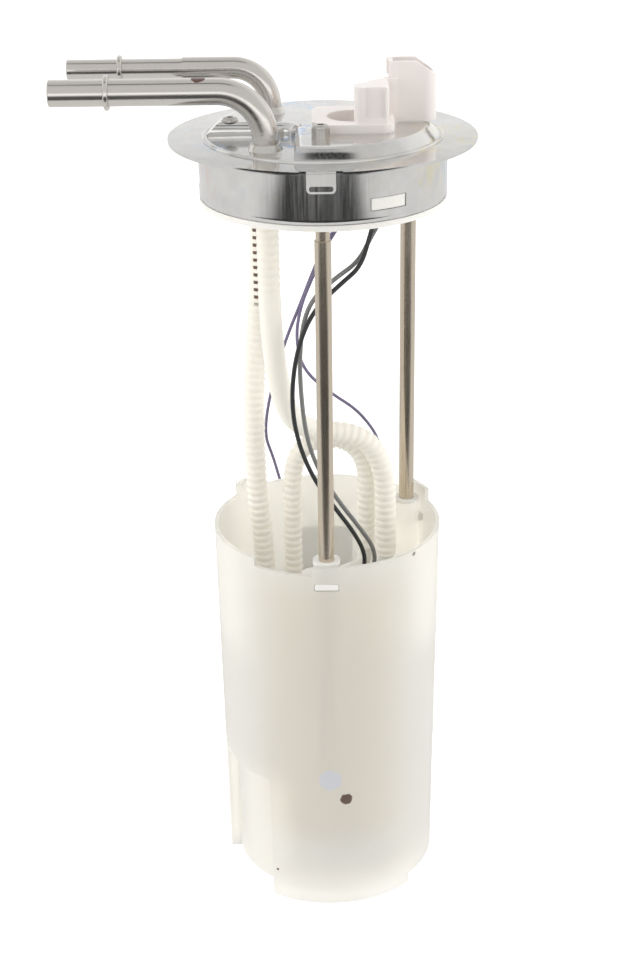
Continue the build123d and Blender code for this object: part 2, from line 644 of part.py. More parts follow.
# ---- connector -----------------------------------------------------------------------
def tower_form():
    """Tower of the connector with its sloping shoulder, rounded right side and lip."""
    outline = Polyline(
        (TOWER_LEFT_X, PLATEAU_TOP_Z), (TOWER_RIGHT_X, PLATEAU_TOP_Z), (TOWER_RIGHT_X, TOWER_SLOPE_Z),
        (TOWER_SLOPE_X, TOWER_TOP_Z), (TOWER_LEFT_X, TOWER_TOP_Z), close=True,
    )
    face = Plane.XZ.offset(-TOWER_BACK_Y) * make_face(outline)
    form = extrude(face, TOWER_BACK_Y - TOWER_FRONT_Y)
    upright = form.edges().filter_by(Axis.Z).group_by(Axis.X)
    form = fillet(upright[-1], TOWER_CORNER_R)
    lip = block(
        TOWER_LEFT_X - LIP_PROUD, TOWER_LEFT_X + 1, TOWER_MID_Y, TOWER_BACK_Y,
        TOWER_TOP_Z - LIP_HEIGHT, TOWER_TOP_Z,
    )
    return form + lip


def tower_socket():
    """Hollow of the tower, open along its top and its slope."""
    socket = block(
        TOWER_LEFT_X + TOWER_WALL, TOWER_RIGHT_X - TOWER_WALL, TOWER_FRONT_Y + TOWER_WALL,
        TOWER_BACK_Y - TOWER_WALL, SOCKET_FLOOR_Z, TOWER_TOP_Z + 1,
    )
    upright = socket.edges().filter_by(Axis.Z).group_by(Axis.X)
    return fillet(upright[-1], TOWER_CORNER_R - TOWER_WALL)


def make_connector_housing():
    """Moulded housing: base plate, sensor port, shroud box and connector tower."""
    base = block(
        BASE_LEFT_X, BASE_RIGHT_X, BASE_FRONT_Y, BASE_BACK_Y, PLATEAU_TOP_Z, BASE_TOP_Z, BASE_CORNER_R
    )
    nose = Polyline(
        (BASE_LEFT_X - 1, BASE_FRONT_Y - 1), (BASE_LEFT_X + BASE_NOSE, BASE_FRONT_Y - 1),
        (BASE_LEFT_X - 1, BASE_FRONT_Y + BASE_NOSE), close=True,
    )
    base -= Pos(0, 0, PLATEAU_TOP_Z - 1) * extrude(make_face(nose), BASE_THICK + 2)
    housing = base + make_port_cup()
    housing -= disc(PORT_R, PORT_DISH_Z, BASE_TOP_Z + 1, PORT_X, PORT_Y)
    housing += shroud_box(PLATEAU_TOP_Z)
    within_dish = disc(PORT_R + PORT_WALL / 2, PORT_DISH_Z, BASE_TOP_Z, PORT_X, PORT_Y)
    housing += shroud_box(PORT_DISH_Z) & within_dish
    housing += tower_form()
    housing += tower_foot(0, PLATEAU_TOP_Z)
    housing -= tower_socket()
    for x in terminal_places():
        housing -= block(*terminal_section(x), -1, SOCKET_FLOOR_Z + 1)
    return housing


def make_port_cup():
    """Cup of the sensor port: wide dish, fitted bore, seat of the seal and vent."""
    cup = disc(PORT_R + PORT_WALL, PORT_DISH_Z - PORT_WALL, BASE_TOP_Z, PORT_X, PORT_Y)
    cup += disc(PORT_BORE_R + PORT_WALL, PORT_SEAL_Z - PORT_FLOOR, PORT_DISH_Z, PORT_X, PORT_Y)
    cup -= disc(PORT_BORE_R, PORT_BORE_Z, BASE_TOP_Z + 1, PORT_X, PORT_Y)
    cup -= disc(PORT_SEAL_R, PORT_SEAL_Z, PORT_BORE_Z, PORT_X, PORT_Y)
    return cup - disc(PORT_VENT_R, PORT_SEAL_Z - PORT_FLOOR, PORT_SEAL_Z, PORT_X, PORT_Y)


def shroud_box(z_low):
    """Box beside the tower that shrouds the sensor, hollowed where the sensor stands."""
    outline = Polyline(
        (BOX_LEFT_X, BOX_FRONT_Y), (BOX_RIGHT_X, BOX_FRONT_Y), (BOX_RIGHT_X, BOX_BACK_RIGHT_Y),
        (BOX_LEFT_X, BOX_BACK_LEFT_Y), close=True,
    )
    box = Pos(0, 0, z_low) * extrude(make_face(outline), BOX_TOP_Z - z_low)
    front = box.edges().filter_by(Axis.Z).group_by(Axis.Y)[0].sort_by(Axis.X)
    box = fillet(front[0], BOX_CORNER_R)
    front = box.edges().filter_by(Axis.Z).group_by(Axis.Y)[0].sort_by(Axis.X)
    box = fillet(front[-1], BOX_EDGE_R)
    box -= block(
        BOX_LEFT_X + BOX_COLUMN, BOX_RIGHT_X - BOX_RIB, BOX_FRONT_Y - 1, BOX_FRONT_Y + BOX_PANEL_DEPTH,
        BASE_TOP_Z + BOX_PANEL_FOOT, BOX_TOP_Z + 1,
    )
    web = block(BOX_RIGHT_X - 2, TOWER_LEFT_X + 4, BOX_BACK_RIGHT_Y - 2, TOWER_FRONT_Y + 3, z_low, BOX_TOP_Z)
    return box + web - disc(PORT_BORE_R + BOX_PORT_GAP, z_low - 1, BOX_TOP_Z + 1, PORT_X, PORT_Y)


def terminal_places():
    """X of each connector terminal."""
    return [FIRST_TERMINAL_X + TERMINAL_PITCH * count for count in range(TERMINALS)]


def terminal_section(x):
    """Plan limits of one terminal."""
    return (
        x - TERMINAL_WIDTH / 2, x + TERMINAL_WIDTH / 2,
        TOWER_MID_Y - TERMINAL_THICK / 2, TOWER_MID_Y + TERMINAL_THICK / 2,
    )


def make_terminals():
    """Flat blades that stand in the socket and reach down into the inner plug."""
    blades = []
    for x in terminal_places():
        low, high = PLUG_TOP_Z - PLUG_DEPTH / 2, SOCKET_FLOOR_Z + TERMINAL_STAND
        blades.append(block(*terminal_section(x), low, high))
    return Compound(children=blades)


def make_inner_plug():
    """Plug of the inner harness below the cover."""
    half = TERMINAL_PITCH * TERMINALS / 2
    plug = block(
        TOWER_MID_X - half, TOWER_MID_X + half, TOWER_FRONT_Y + 1, TOWER_BACK_Y - 1,
        PLUG_LOW_Z, PLUG_TOP_Z, 1.5,
    )
    for x in terminal_places():
        plug -= block(*terminal_section(x), PLUG_TOP_Z - PLUG_DEPTH / 2, PLUG_TOP_Z + 1)
    return plug


def make_port_seal():
    """Rubber ring that seals the pressure sensor at the foot of its port."""
    return ring(PORT_SEAL_R, PORT_SEAL_BORE_R, PORT_SEAL_Z, PORT_BORE_Z, PORT_X, PORT_Y)


# ---- rod carrier and rods ------------------------------------------------------------
def make_rod_carrier():
    """Moulded disc in the skirt: rod sockets, screw bosses, snaps, and ways for hoses and wires."""
    skirt_bore = SKIRT_R - SKIRT_SHEET
    carrier = disc(CARRIER_R, CARRIER_LOW_Z, CARRIER_TOP_Z)
    wall_top = CARRIER_TOP_Z + CARRIER_WALL_RISE
    carrier += ring(skirt_bore, skirt_bore - CARRIER_WALL, CARRIER_TOP_Z, wall_top)
    for angle in SNAP_ANGLES:
        half = SNAP_SPAN / 2 - 0.6
        carrier += sector(
            skirt_bore - 1, SKIRT_R - 0.2, angle - half, angle + half,
            SNAP_TOP_Z - SNAP_HEIGHT + CLEAR, SNAP_TOP_Z - CLEAR,
        )
    for angle in ROD_ANGLES.values():
        x, y = polar(ROD_CIRCLE_R, angle)
        carrier += disc(ROD_NECK_R + ROD_SOCKET_WALL, CARRIER_TOP_Z, ROD_TOP_Z + 2, x, y)
        carrier -= disc(ROD_NECK_R, CARRIER_LOW_Z - 1, ROD_TOP_Z, *polar(ROD_CIRCLE_R, angle))
    for x, y in SCREW_SPOTS:
        carrier += disc(SCREW_BOSS_R, CARRIER_TOP_Z, 0, x, y)
        carrier += disc(SCREW_BOSS_R, 0, PLATEAU_UNDER_Z, x, y) & plateau_form(SHEET)
        carrier -= disc(SCREW_R, PLATEAU_TOP_Z - SCREW_LENGTH, PLATEAU_TOP_Z, x, y)
    carrier -= disc(HOSE_R + CLEAR, CARRIER_LOW_Z - 1, CARRIER_TOP_Z + 1, *FEED_NIPPLE)
    carrier -= disc(HOSE_R + CLEAR, CARRIER_LOW_Z - 1, CARRIER_TOP_Z + 1, *RETURN_NIPPLE)
    carrier -= block(*WIRE_SLOT, CARRIER_LOW_Z - 1, CARRIER_TOP_Z + 1, 6.0)
    return carrier


def make_guide_rod(angle):
    """Steel guide tube, necked where it enters the carrier and grooved for its clip."""
    x, y = polar(ROD_CIRCLE_R, angle)
    rod = disc(ROD_R, ROD_LOW_Z, ROD_NECK_Z, x, y)
    rod += disc(ROD_NECK_R, ROD_NECK_Z, ROD_TOP_Z, x, y)
    rod -= disc(ROD_BORE_R, ROD_LOW_Z - 1, ROD_TOP_Z - 3, x, y)
    rod -= ring(ROD_R + 1, ROD_R - CLIP_GROOVE, CLIP_LOW_Z, CLIP_TOP_Z, x, y)
    return rod


def make_rod_clip(angle):
    """Open clip in the rod's groove, which stops the reservoir from dropping off."""
    x, y = polar(ROD_CIRCLE_R, angle)
    clip = ring(CLIP_R, ROD_R - CLIP_GROOVE, CLIP_LOW_Z, CLIP_TOP_Z, x, y)
    return clip - block(x - 2, x + 2, y, y + CLIP_R + 1, CLIP_LOW_Z - 1, CLIP_TOP_Z + 1)


def make_guide_bush(angle):
    """Slide bush at the rim of the reservoir, held by a latch in the wall's window."""
    x, y = polar(ROD_CIRCLE_R, angle)
    bush = disc(WELL_BORE_R, BUSH_LOW_Z, GUIDE_TOP_Z, x, y)
    bush += disc(WELL_R, GUIDE_TOP_Z, GUIDE_TOP_Z + BUSH_FLANGE, x, y)
    bush += latch_block(angle, reservoir_radius(LATCH_TOP_Z) - 0.5, CLEAR)
    return bush - disc(ROD_R + RUN, BUSH_LOW_Z - 1, GUIDE_TOP_Z + BUSH_FLANGE + 1, x, y)


def latch_block(angle, reach, margin):
    """Block through the reservoir's wall in front of a bush."""
    low, high = LATCH_TOP_Z - LATCH_HEIGHT + margin, LATCH_TOP_Z - margin
    half = LATCH_WIDTH / 2 - margin
    return Rot(0, 0, angle) * block(-half, half, -reach, -ROD_CIRCLE_R - ROD_R, low, high)


def make_guide_spring(angle):
    """Coil spring between the rod's end and the floor of its well."""
    x, y = polar(ROD_CIRCLE_R, angle)
    low, high = WELL_FLOOR_Z + SPRING_WIRE_R + CLEAR / 2, ROD_LOW_Z - SPRING_WIRE_R - CLEAR / 2
    height = high - low
    coil = Pos(x, y, low) * Helix(height / SPRING_TURNS, height, SPRING_R - SPRING_WIRE_R)
    section = Plane(origin=coil @ 0, z_dir=coil % 0) * Rectangle(2 * SPRING_WIRE_R, 2 * SPRING_WIRE_R)
    return sweep(section, path=coil, is_frenet=True)


# ---- reservoir -----------------------------------------------------------------------
def reservoir_form(inset, z_low, z_high):
    """Tapered body of the reservoir, inset from its outer skin."""
    return taper(reservoir_radius(z_low) - inset, reservoir_radius(z_high) - inset, z_low, z_high)


def pocket_form(margin):
    """Recess in the side of the reservoir."""
    low, high = GROUND_Z - 1, POCKET_TOP_Z + margin
    inner = reservoir_radius(GROUND_Z) - POCKET_DEPTH - margin
    turn = degrees(margin / FOOT_R)
    form = sector(inner, RIM_R + 5, POCKET_SPAN[0] - turn, POCKET_SPAN[1] + turn, low, high)
    return form


def make_reservoir():
    """Moulded reservoir: tapered wall, feet, side pocket, guide wells, lugs and sensor pad."""
    top = RIM_Z + LUG_RISE
    outside = reservoir_form(0, WALL_LOW_Z, RIM_Z)
    for start, stop in FEET:
        outside += reservoir_form(0, GROUND_Z, WALL_LOW_Z + 1) & sector(
            FOOT_R - FOOT_WIDTH, RIM_R, start, stop, GROUND_Z, WALL_LOW_Z + 1
        )
    for start, stop in LUG_SPANS:
        outside += sector(RIM_R - RESERVOIR_WALL, RIM_R, start, stop, RIM_Z - 4, top)
    outside += block(
        -PAD_HALF_WIDTH, PAD_HALF_WIDTH, FOOT_R - 8, PAD_FACE_Y,
        SENSOR_TOP_Z - SENSOR_HEIGHT - 3, SENSOR_TOP_Z + 2,
    )
    outside -= pocket_form(0)
    inside = reservoir_form(RESERVOIR_WALL, FLOOR_Z, RIM_Z) - pocket_form(RESERVOIR_WALL)
    seat_r = PUMP_R + ISOLATOR_WALL
    inside -= ring(seat_r, seat_r - SEAT_WALL, FLOOR_Z, isolator_low(), PUMP_X, PUMP_Y)
    for angle in ROD_ANGLES.values():
        inside -= disc(WELL_R, WELL_LOW_Z, GUIDE_TOP_Z, *polar(ROD_CIRCLE_R, angle))
    shell = outside - inside
    for angle in ROD_ANGLES.values():
        shell -= disc(WELL_BORE_R, WELL_FLOOR_Z, GUIDE_TOP_Z, *polar(ROD_CIRCLE_R, angle))
        shell -= disc(WELL_R + 2 * RUN, GUIDE_TOP_Z, top, *polar(ROD_CIRCLE_R, angle))
        shell -= latch_block(angle, RIM_R + 2, 0)
    shell -= sector(FOOT_R - 8, RIM_R + 2, *RIM_DIP_SPAN, RIM_Z - RIM_DIP, RIM_Z + 1)
    shell -= disc(INLET_R, WALL_LOW_Z - 1, FLOOR_Z + 1, INLET_X, INLET_Y)
    return shell


def isolator_low():
    """Height on which the pump's isolator stands."""
    return PUMP_LOW_Z - ISOLATOR_FLOOR


def make_inlet_flap():
    """Rubber flap valve over the reservoir's inlet, with its retaining stem."""
    flap = disc(FLAP_R, FLOOR_Z, FLOOR_Z + FLAP_THICK, INLET_X, INLET_Y)
    knob = taper(2.6, 1.2, FLOOR_Z + FLAP_THICK, FLOOR_Z + FLAP_THICK + 4, INLET_X, INLET_Y)
    return flap + knob


def make_inlet_strainer():
    """Flat filter sock under the reservoir, with its neck in the inlet."""
    width, depth, thick = STRAINER_SIZE
    high = WALL_LOW_Z - CLEAR
    low = high - thick
    sock = block(
        STRAINER_X - width / 2, STRAINER_X + width / 2, STRAINER_Y - depth / 2, STRAINER_Y + depth / 2,
        low, high, STRAINER_CORNER_R,
    )
    sock = fillet(sock.edges().group_by(Axis.Z)[0] + sock.edges().group_by(Axis.Z)[-1], thick * 0.3)
    neck = ring(INLET_R, INLET_R - 1.5, high - 1, FLOOR_Z, INLET_X, INLET_Y)
    return sock + neck


# ---- pump ----------------------------------------------------------------------------
def make_pump_case():
    """Steel tube of the pump."""
    return ring(PUMP_R, CASE_BORE_R, CASE_LOW_Z, CASE_TOP_Z, PUMP_X, PUMP_Y)


def make_outlet_cap():
    """Moulded top of the pump: outlet nipple and the shroud of its terminals."""
    cap = disc(PUMP_R, CASE_TOP_Z, PUMP_TOP_Z, PUMP_X, PUMP_Y)
    cap = chamfer(cap.edges().group_by(Axis.Z)[-1], 1.5)
    spigot_bore = CASE_BORE_R - PUMP_SPIGOT_WALL
    cap += ring(CASE_BORE_R, spigot_bore, CASE_TOP_Z - PUMP_SPIGOT, CASE_TOP_Z, PUMP_X, PUMP_Y)
    cap += disc(OUTLET_R, PUMP_TOP_Z, OUTLET_TOP_Z, OUTLET_X, PUMP_Y)
    cap -= disc(OUTLET_BORE_R, PUMP_TOP_Z - 2, OUTLET_TOP_Z + 1, OUTLET_X, PUMP_Y)
    cap -= disc(SHAFT_R + RUN, CASE_TOP_Z - 1, CASE_TOP_Z + 3, PUMP_X, PUMP_Y)
    return cap


def make_inlet_body():
    """Moulded pumping chamber at the foot of the pump."""
    body = disc(PUMP_R, PUMP_LOW_Z, CASE_LOW_Z, PUMP_X, PUMP_Y)
    body += disc(CASE_BORE_R, CASE_LOW_Z, CASE_LOW_Z + PUMP_SPIGOT * 2, PUMP_X, PUMP_Y)
    chamber_low = CASE_LOW_Z + 2
    body -= disc(
        IMPELLER_R + CLEAR, chamber_low, chamber_low + IMPELLER_THICK + 2 * CLEAR, PUMP_X, PUMP_Y
    )
    body -= disc(SHAFT_R + RUN, CASE_LOW_Z - 3, CASE_LOW_Z + PUMP_SPIGOT * 2 + 1, PUMP_X, PUMP_Y)
    inlet_x = PUMP_X + INLET_SHIFT
    return body - disc(INLET_R, PUMP_LOW_Z - 1, chamber_low + 1, inlet_x, PUMP_Y)


def magnet_low():
    """Lower end of the magnets and the armature."""
    return (CASE_TOP_Z + CASE_LOW_Z - MAGNET_LENGTH) / 2


def make_magnets():
    """Two curved magnets bonded in the case."""
    low = magnet_low()
    halves = []
    for middle in (90.0, 270.0):
        arc = sector(
            CASE_BORE_R - MAGNET_WALL, CASE_BORE_R, middle - MAGNET_SPAN / 2, middle + MAGNET_SPAN / 2,
            low, low + MAGNET_LENGTH,
        )
        halves.append(Pos(PUMP_X, PUMP_Y, 0) * arc)
    return Compound(children=halves)


def make_armature():
    """Shaft with its wound core and commutator."""
    low = magnet_low()
    core_r = CASE_BORE_R - MAGNET_WALL - AIR_GAP
    core = disc(core_r, low + 4, low + MAGNET_LENGTH - 4, PUMP_X, PUMP_Y)
    core = fillet(core.edges(), 3.0)
    shaft = disc(SHAFT_R, CASE_LOW_Z - 3 + CLEAR, CASE_TOP_Z + 3 - CLEAR, PUMP_X, PUMP_Y)
    top = low + MAGNET_LENGTH - 4
    return core + shaft + disc(COMMUTATOR_R, top, top + COMMUTATOR_LENGTH, PUMP_X, PUMP_Y)


def make_impeller():
    """Disc with vanes round its edge, on the shaft."""
    low = CASE_LOW_Z + 2 + CLEAR
    wheel = ring(IMPELLER_R, SHAFT_R, low, low + IMPELLER_THICK, PUMP_X, PUMP_Y)
    for count in range(IMPELLER_SLOTS):
        turn = 360.0 * count / IMPELLER_SLOTS
        notch = Pos(IMPELLER_R, 0, low - 1) * Box(
            2 * SLOT_DEPTH, 2.2, IMPELLER_THICK + 2, align=(Align.CENTER, Align.CENTER, Align.MIN)
        )
        wheel -= Pos(PUMP_X, PUMP_Y, 0) * Rot(0, 0, turn) * notch
    return wheel


def make_isolator():
    """Rubber cup under the pump."""
    low = isolator_low()
    cup = ring(PUMP_R + ISOLATOR_WALL, PUMP_R, low, PUMP_LOW_Z + ISOLATOR_RISE, PUMP_X, PUMP_Y)
    return cup + ring(PUMP_R, PUMP_R - 5, low, PUMP_LOW_Z, PUMP_X, PUMP_Y)


def make_pump_strainer():
    """Pump's own filter in the sump below it."""
    sock_r = PUMP_R + ISOLATOR_WALL - SEAT_WALL - 1
    sock = disc(sock_r, FLOOR_Z, isolator_low(), PUMP_X, PUMP_Y)
    sock = fillet(sock.edges(), 2.0)
    return sock + disc(5.0, isolator_low() - 1, PUMP_LOW_Z, PUMP_X + 6, PUMP_Y)


def make_retainer():
    """Spider that centres the top of the pump in the reservoir."""
    high = CASE_TOP_Z - 2
    low = high - RETAINER_HEIGHT
    bore = PUMP_R + RUN
    spider = disc(bore + RETAINER_WALL, low, high, PUMP_X, PUMP_Y)
    for angle in RETAINER_ANGLES:
        spider += Rot(0, 0, angle) * block(
            -RETAINER_ARM / 2, RETAINER_ARM / 2,
            -reservoir_radius(low) + RESERVOIR_WALL + 1, -PUMP_R / 2, low, high,
        )
    spider &= reservoir_form(RESERVOIR_WALL + CLEAR / 2, low, high)
    return spider - disc(bore, low - 1, high + 1, PUMP_X, PUMP_Y)


def make_check_valve():
    """Poppet in the pump's outlet that keeps the line full."""
    low = PUMP_TOP_Z - 2
    poppet = disc(VALVE_R, low, low + 5, OUTLET_X, PUMP_Y)
    return chamfer(poppet.edges().group_by(Axis.Z)[-1], 1.2)


def make_pump_plug():
    """Plug of the pump's two supply wires."""
    width, depth, height = PUMP_PLUG
    return block(
        PUMP_PLUG_X - 1, PUMP_PLUG_X + width - 1, PUMP_Y - depth / 2, PUMP_Y + depth / 2,
        PUMP_TOP_Z, PUMP_TOP_Z + height, 1.0,
    )


# ---- fittings ------------------------------------------------------------------------
def make_manifold():
    """Moulded fitting on the pump's outlet: one arm to the feed hose, one to the jet pump's hose."""
    fitting = disc(OUTLET_R + 2, PUMP_TOP_Z + 1, MANIFOLD_Z + MANIFOLD_R + 1, OUTLET_X, PUMP_Y)
    centre = (OUTLET_X, PUMP_Y, MANIFOLD_Z)
    for (x, y), radius in ((FEED_LEG, NIPPLE_R), (JET_RISER, JET_NIPPLE_R)):
        corner, tip = (x, y, MANIFOLD_Z), (x, y, MANIFOLD_BARB_TOP_Z)
        fitting += swept(radius, (centre, corner, tip), [radius * 2])
    return fitting - disc(OUTLET_R, PUMP_TOP_Z, OUTLET_TOP_Z, OUTLET_X, PUMP_Y)


def make_standpipe():
    """Return pipe that stands on the reservoir's floor, with a nipple for its hose."""
    x, y = RETURN_LEG
    pipe = disc(STANDPIPE_R, FLOOR_Z, STANDPIPE_TOP_Z, x, y)
    pipe += disc(NIPPLE_R, STANDPIPE_TOP_Z, RETURN_BARB_TOP_Z, x, y)
    pipe -= disc(NIPPLE_BORE_R, FLOOR_Z + 3, RETURN_BARB_TOP_Z + 1, x, y)
    return pipe - along_y(2.4, y, y + STANDPIPE_R + 1, x, FLOOR_Z + 8)


def make_jet_pump():
    """Jet pump on the floor: body, hose nipple and mixing tube."""
    x, y = JET_LEG
    jet = disc(JET_BODY_R, FLOOR_Z, JET_BODY_TOP_Z, x, y)
    jet += disc(JET_NIPPLE_R, JET_BODY_TOP_Z, JET_NIPPLE_TOP_Z, x, y)
    jet += along_y(MIXER_R, y, y + MIXER_LENGTH, x, FLOOR_Z + JET_BODY_HEIGHT / 2)
    jet -= along_y(MIXER_R - 1.2, y + JET_BODY_R, y + MIXER_LENGTH + 1, x, FLOOR_Z + JET_BODY_HEIGHT / 2)
    return jet - disc(JET_NIPPLE_R - 1.2, JET_BODY_TOP_Z - 4, JET_NIPPLE_TOP_Z + 1, x, y)


# ---- level sensor --------------------------------------------------------------------
def make_sensor_housing():
    """Moulded holder of the level sensor on the back of the reservoir, with its pivot pin."""
    low = SENSOR_TOP_Z - SENSOR_HEIGHT
    holder = block(-SENSOR_HALF_WIDTH, SENSOR_HALF_WIDTH, PAD_FACE_Y, SENSOR_FACE_Y, low, SENSOR_TOP_Z)
    holder = fillet(holder.edges().filter_by(Axis.Y), 3.0)
    for side in (-1, 1):
        holder += block(
            *sorted((side * SENSOR_HALF_WIDTH, side * (SENSOR_HALF_WIDTH - 1.5))), SENSOR_FACE_Y - 1,
            SENSOR_FACE_Y + 3, low + 5, PIVOT_Z - HUB_R - 6,
        )
    return holder + along_y(PIVOT_R, SENSOR_FACE_Y - 1, HUB_Y + HUB_THICK, 0, PIVOT_Z)


def make_sensor_card():
    """Resistor card under the wiper."""
    card = block(
        -SENSOR_HALF_WIDTH + 2.5, SENSOR_HALF_WIDTH - 2.5, SENSOR_FACE_Y, SENSOR_FACE_Y + CARD_THICK,
        PIVOT_Z + PIVOT_R + 1, SENSOR_TOP_Z - 3,
    )
    return card


def make_arm_hub():
    """Hub of the float arm, turning on the pivot pin."""
    hub = along_y(HUB_R, HUB_Y, HUB_Y + HUB_THICK, 0, PIVOT_Z)
    hub += block(-2.5, 2.5, HUB_Y, HUB_Y + HUB_THICK, PIVOT_Z, PIVOT_Z + HUB_R + 6)
    return hub - along_y(PIVOT_R + RUN, HUB_Y - 1, HUB_Y + HUB_THICK + 1, 0, PIVOT_Z)


def make_float_arm():
    """Wire arm from the hub down to the float."""
    low = PIVOT_Z - ARM_LENGTH
    reach = ARM_Y + FLOAT_SIZE[1]
    return swept(ARM_R, ((0, ARM_Y, PIVOT_Z + HUB_R), (0, ARM_Y, low), (0, reach, low)), [5.0])


def make_float():
    """Closed-cell float on the end of the arm."""
    width, depth, height = FLOAT_SIZE
    low = PIVOT_Z - ARM_LENGTH - height / 2
    near = ARM_Y + 5.5
    body = block(-width / 2, width / 2, near, near + depth, low, low + height)
    body = fillet(body.edges().filter_by(Axis.Y), FLOAT_CORNER_R)
    return body - along_y(ARM_R, near - 1, ARM_Y + FLOAT_SIZE[1], 0, PIVOT_Z - ARM_LENGTH)


# ---- the whole module ----------------------------------------------------------------
def build_nodes():
    """Every sub-part by its name."""
    nodes = {
        "cover_plate": make_cover_plate(),
        "skirt_ring": make_skirt_ring(),
        "feed_tube": make_feed_tube(),
        "return_tube": make_return_tube(),
        "feed_braze_collar": make_braze_collar(FEED_R, FEED_X, FEED_Y, SHEET),
        "return_braze_collar": make_braze_collar(RETURN_SWELL_R, RETURN_X, RETURN_Y, PLATEAU_TOP_Z),
        "cover_screws": make_screws(),
        "connector_housing": make_connector_housing(),
        "connector_terminals": make_terminals(),
        "inner_plug": make_inner_plug(),
        "port_seal": make_port_seal(),
        "rod_carrier": make_rod_carrier(),
        "reservoir": make_reservoir(),
        "inlet_flap": make_inlet_flap(),
        "inlet_strainer": make_inlet_strainer(),
        "pump_case": make_pump_case(),
        "pump_outlet_cap": make_outlet_cap(),
        "pump_inlet_body": make_inlet_body(),
        "pump_magnets": make_magnets(),
        "pump_armature": make_armature(),
        "pump_impeller": make_impeller(),
        "pump_isolator": make_isolator(),
        "pump_strainer": make_pump_strainer(),
        "pump_retainer": make_retainer(),
        "pump_check_valve": make_check_valve(),
        "pump_plug": make_pump_plug(),
        "outlet_manifold": make_manifold(),
        "return_standpipe": make_standpipe(),
        "jet_pump": make_jet_pump(),
        "sensor_housing": make_sensor_housing(),
        "sensor_card": make_sensor_card(),
        "float_arm_hub": make_arm_hub(),
        "float_arm": make_float_arm(),
        "float": make_float(),
        "feed_hose": flexible("feed_hose", FEED_HOSE_ROUTE, HOSE_R, HOSE_BORE_R),
        "return_hose": flexible("return_hose", RETURN_HOSE_ROUTE, HOSE_R, HOSE_BORE_R),
        "jet_hose": flexible("jet_hose", JET_HOSE_ROUTE, JET_HOSE_R, JET_HOSE_BORE_R),
        "black_wire": flexible("black_wire", BLACK_WIRE_ROUTE, WIRE_R),
        "grey_wire": flexible("grey_wire", GREY_WIRE_ROUTE, WIRE_R),
        "sender_wire": flexible("sender_wire", SENDER_WIRE_ROUTE, SENDER_WIRE_R),
        "sender_ground_wire": flexible("sender_ground_wire", GROUND_WIRE_ROUTE, SENDER_WIRE_R),
    }
    for name, angle in ROD_ANGLES.items():
        nodes["guide_rod_" + name] = make_guide_rod(angle)
        nodes["rod_clip_" + name] = make_rod_clip(angle)
        nodes["guide_bush_" + name] = make_guide_bush(angle)
        nodes["guide_spring_" + name] = make_guide_spring(angle)
    return nodes


os.makedirs("parts", exist_ok=True)
for node_name, shape in build_nodes().items():
    export_step(shape, "parts/" + node_name + ".step")
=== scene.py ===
"""Fuel pump module: finishes, hoses, wires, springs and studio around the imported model."""

import json
import logging
import math
from dataclasses import dataclass, field
from enum import Enum
from functools import partial, reduce

import bpy
import numpy as np
from mathutils import Matrix, Vector

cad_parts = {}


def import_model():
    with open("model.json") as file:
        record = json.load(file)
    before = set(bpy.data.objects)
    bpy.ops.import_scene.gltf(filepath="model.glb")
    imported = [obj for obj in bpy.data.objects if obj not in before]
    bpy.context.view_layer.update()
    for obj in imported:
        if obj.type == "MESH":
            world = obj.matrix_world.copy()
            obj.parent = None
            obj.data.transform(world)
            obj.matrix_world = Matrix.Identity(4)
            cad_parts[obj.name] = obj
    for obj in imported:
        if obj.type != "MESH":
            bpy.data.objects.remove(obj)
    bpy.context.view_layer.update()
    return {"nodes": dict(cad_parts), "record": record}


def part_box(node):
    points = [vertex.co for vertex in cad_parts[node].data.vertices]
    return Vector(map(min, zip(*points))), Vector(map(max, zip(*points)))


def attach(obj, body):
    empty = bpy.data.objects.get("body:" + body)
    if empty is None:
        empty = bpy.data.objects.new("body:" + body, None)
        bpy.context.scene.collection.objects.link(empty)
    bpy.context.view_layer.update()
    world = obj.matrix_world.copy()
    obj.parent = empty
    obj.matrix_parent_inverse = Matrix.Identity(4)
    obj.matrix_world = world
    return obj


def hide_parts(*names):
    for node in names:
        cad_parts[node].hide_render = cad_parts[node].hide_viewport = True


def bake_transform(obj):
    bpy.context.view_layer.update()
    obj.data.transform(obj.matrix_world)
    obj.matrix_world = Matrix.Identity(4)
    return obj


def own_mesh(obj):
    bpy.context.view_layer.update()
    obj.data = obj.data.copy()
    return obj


LOG = logging.getLogger("fuel_pump_module")
MM = 0.001
Point = tuple[float, float, float]
Colour = tuple[float, float, float]
Span = tuple[float, float]
Socket = bpy.types.NodeSocket
BLACK: Colour = (0.0, 0.0, 0.0)
WHITE = (1.0, 1.0, 1.0, 1.0)

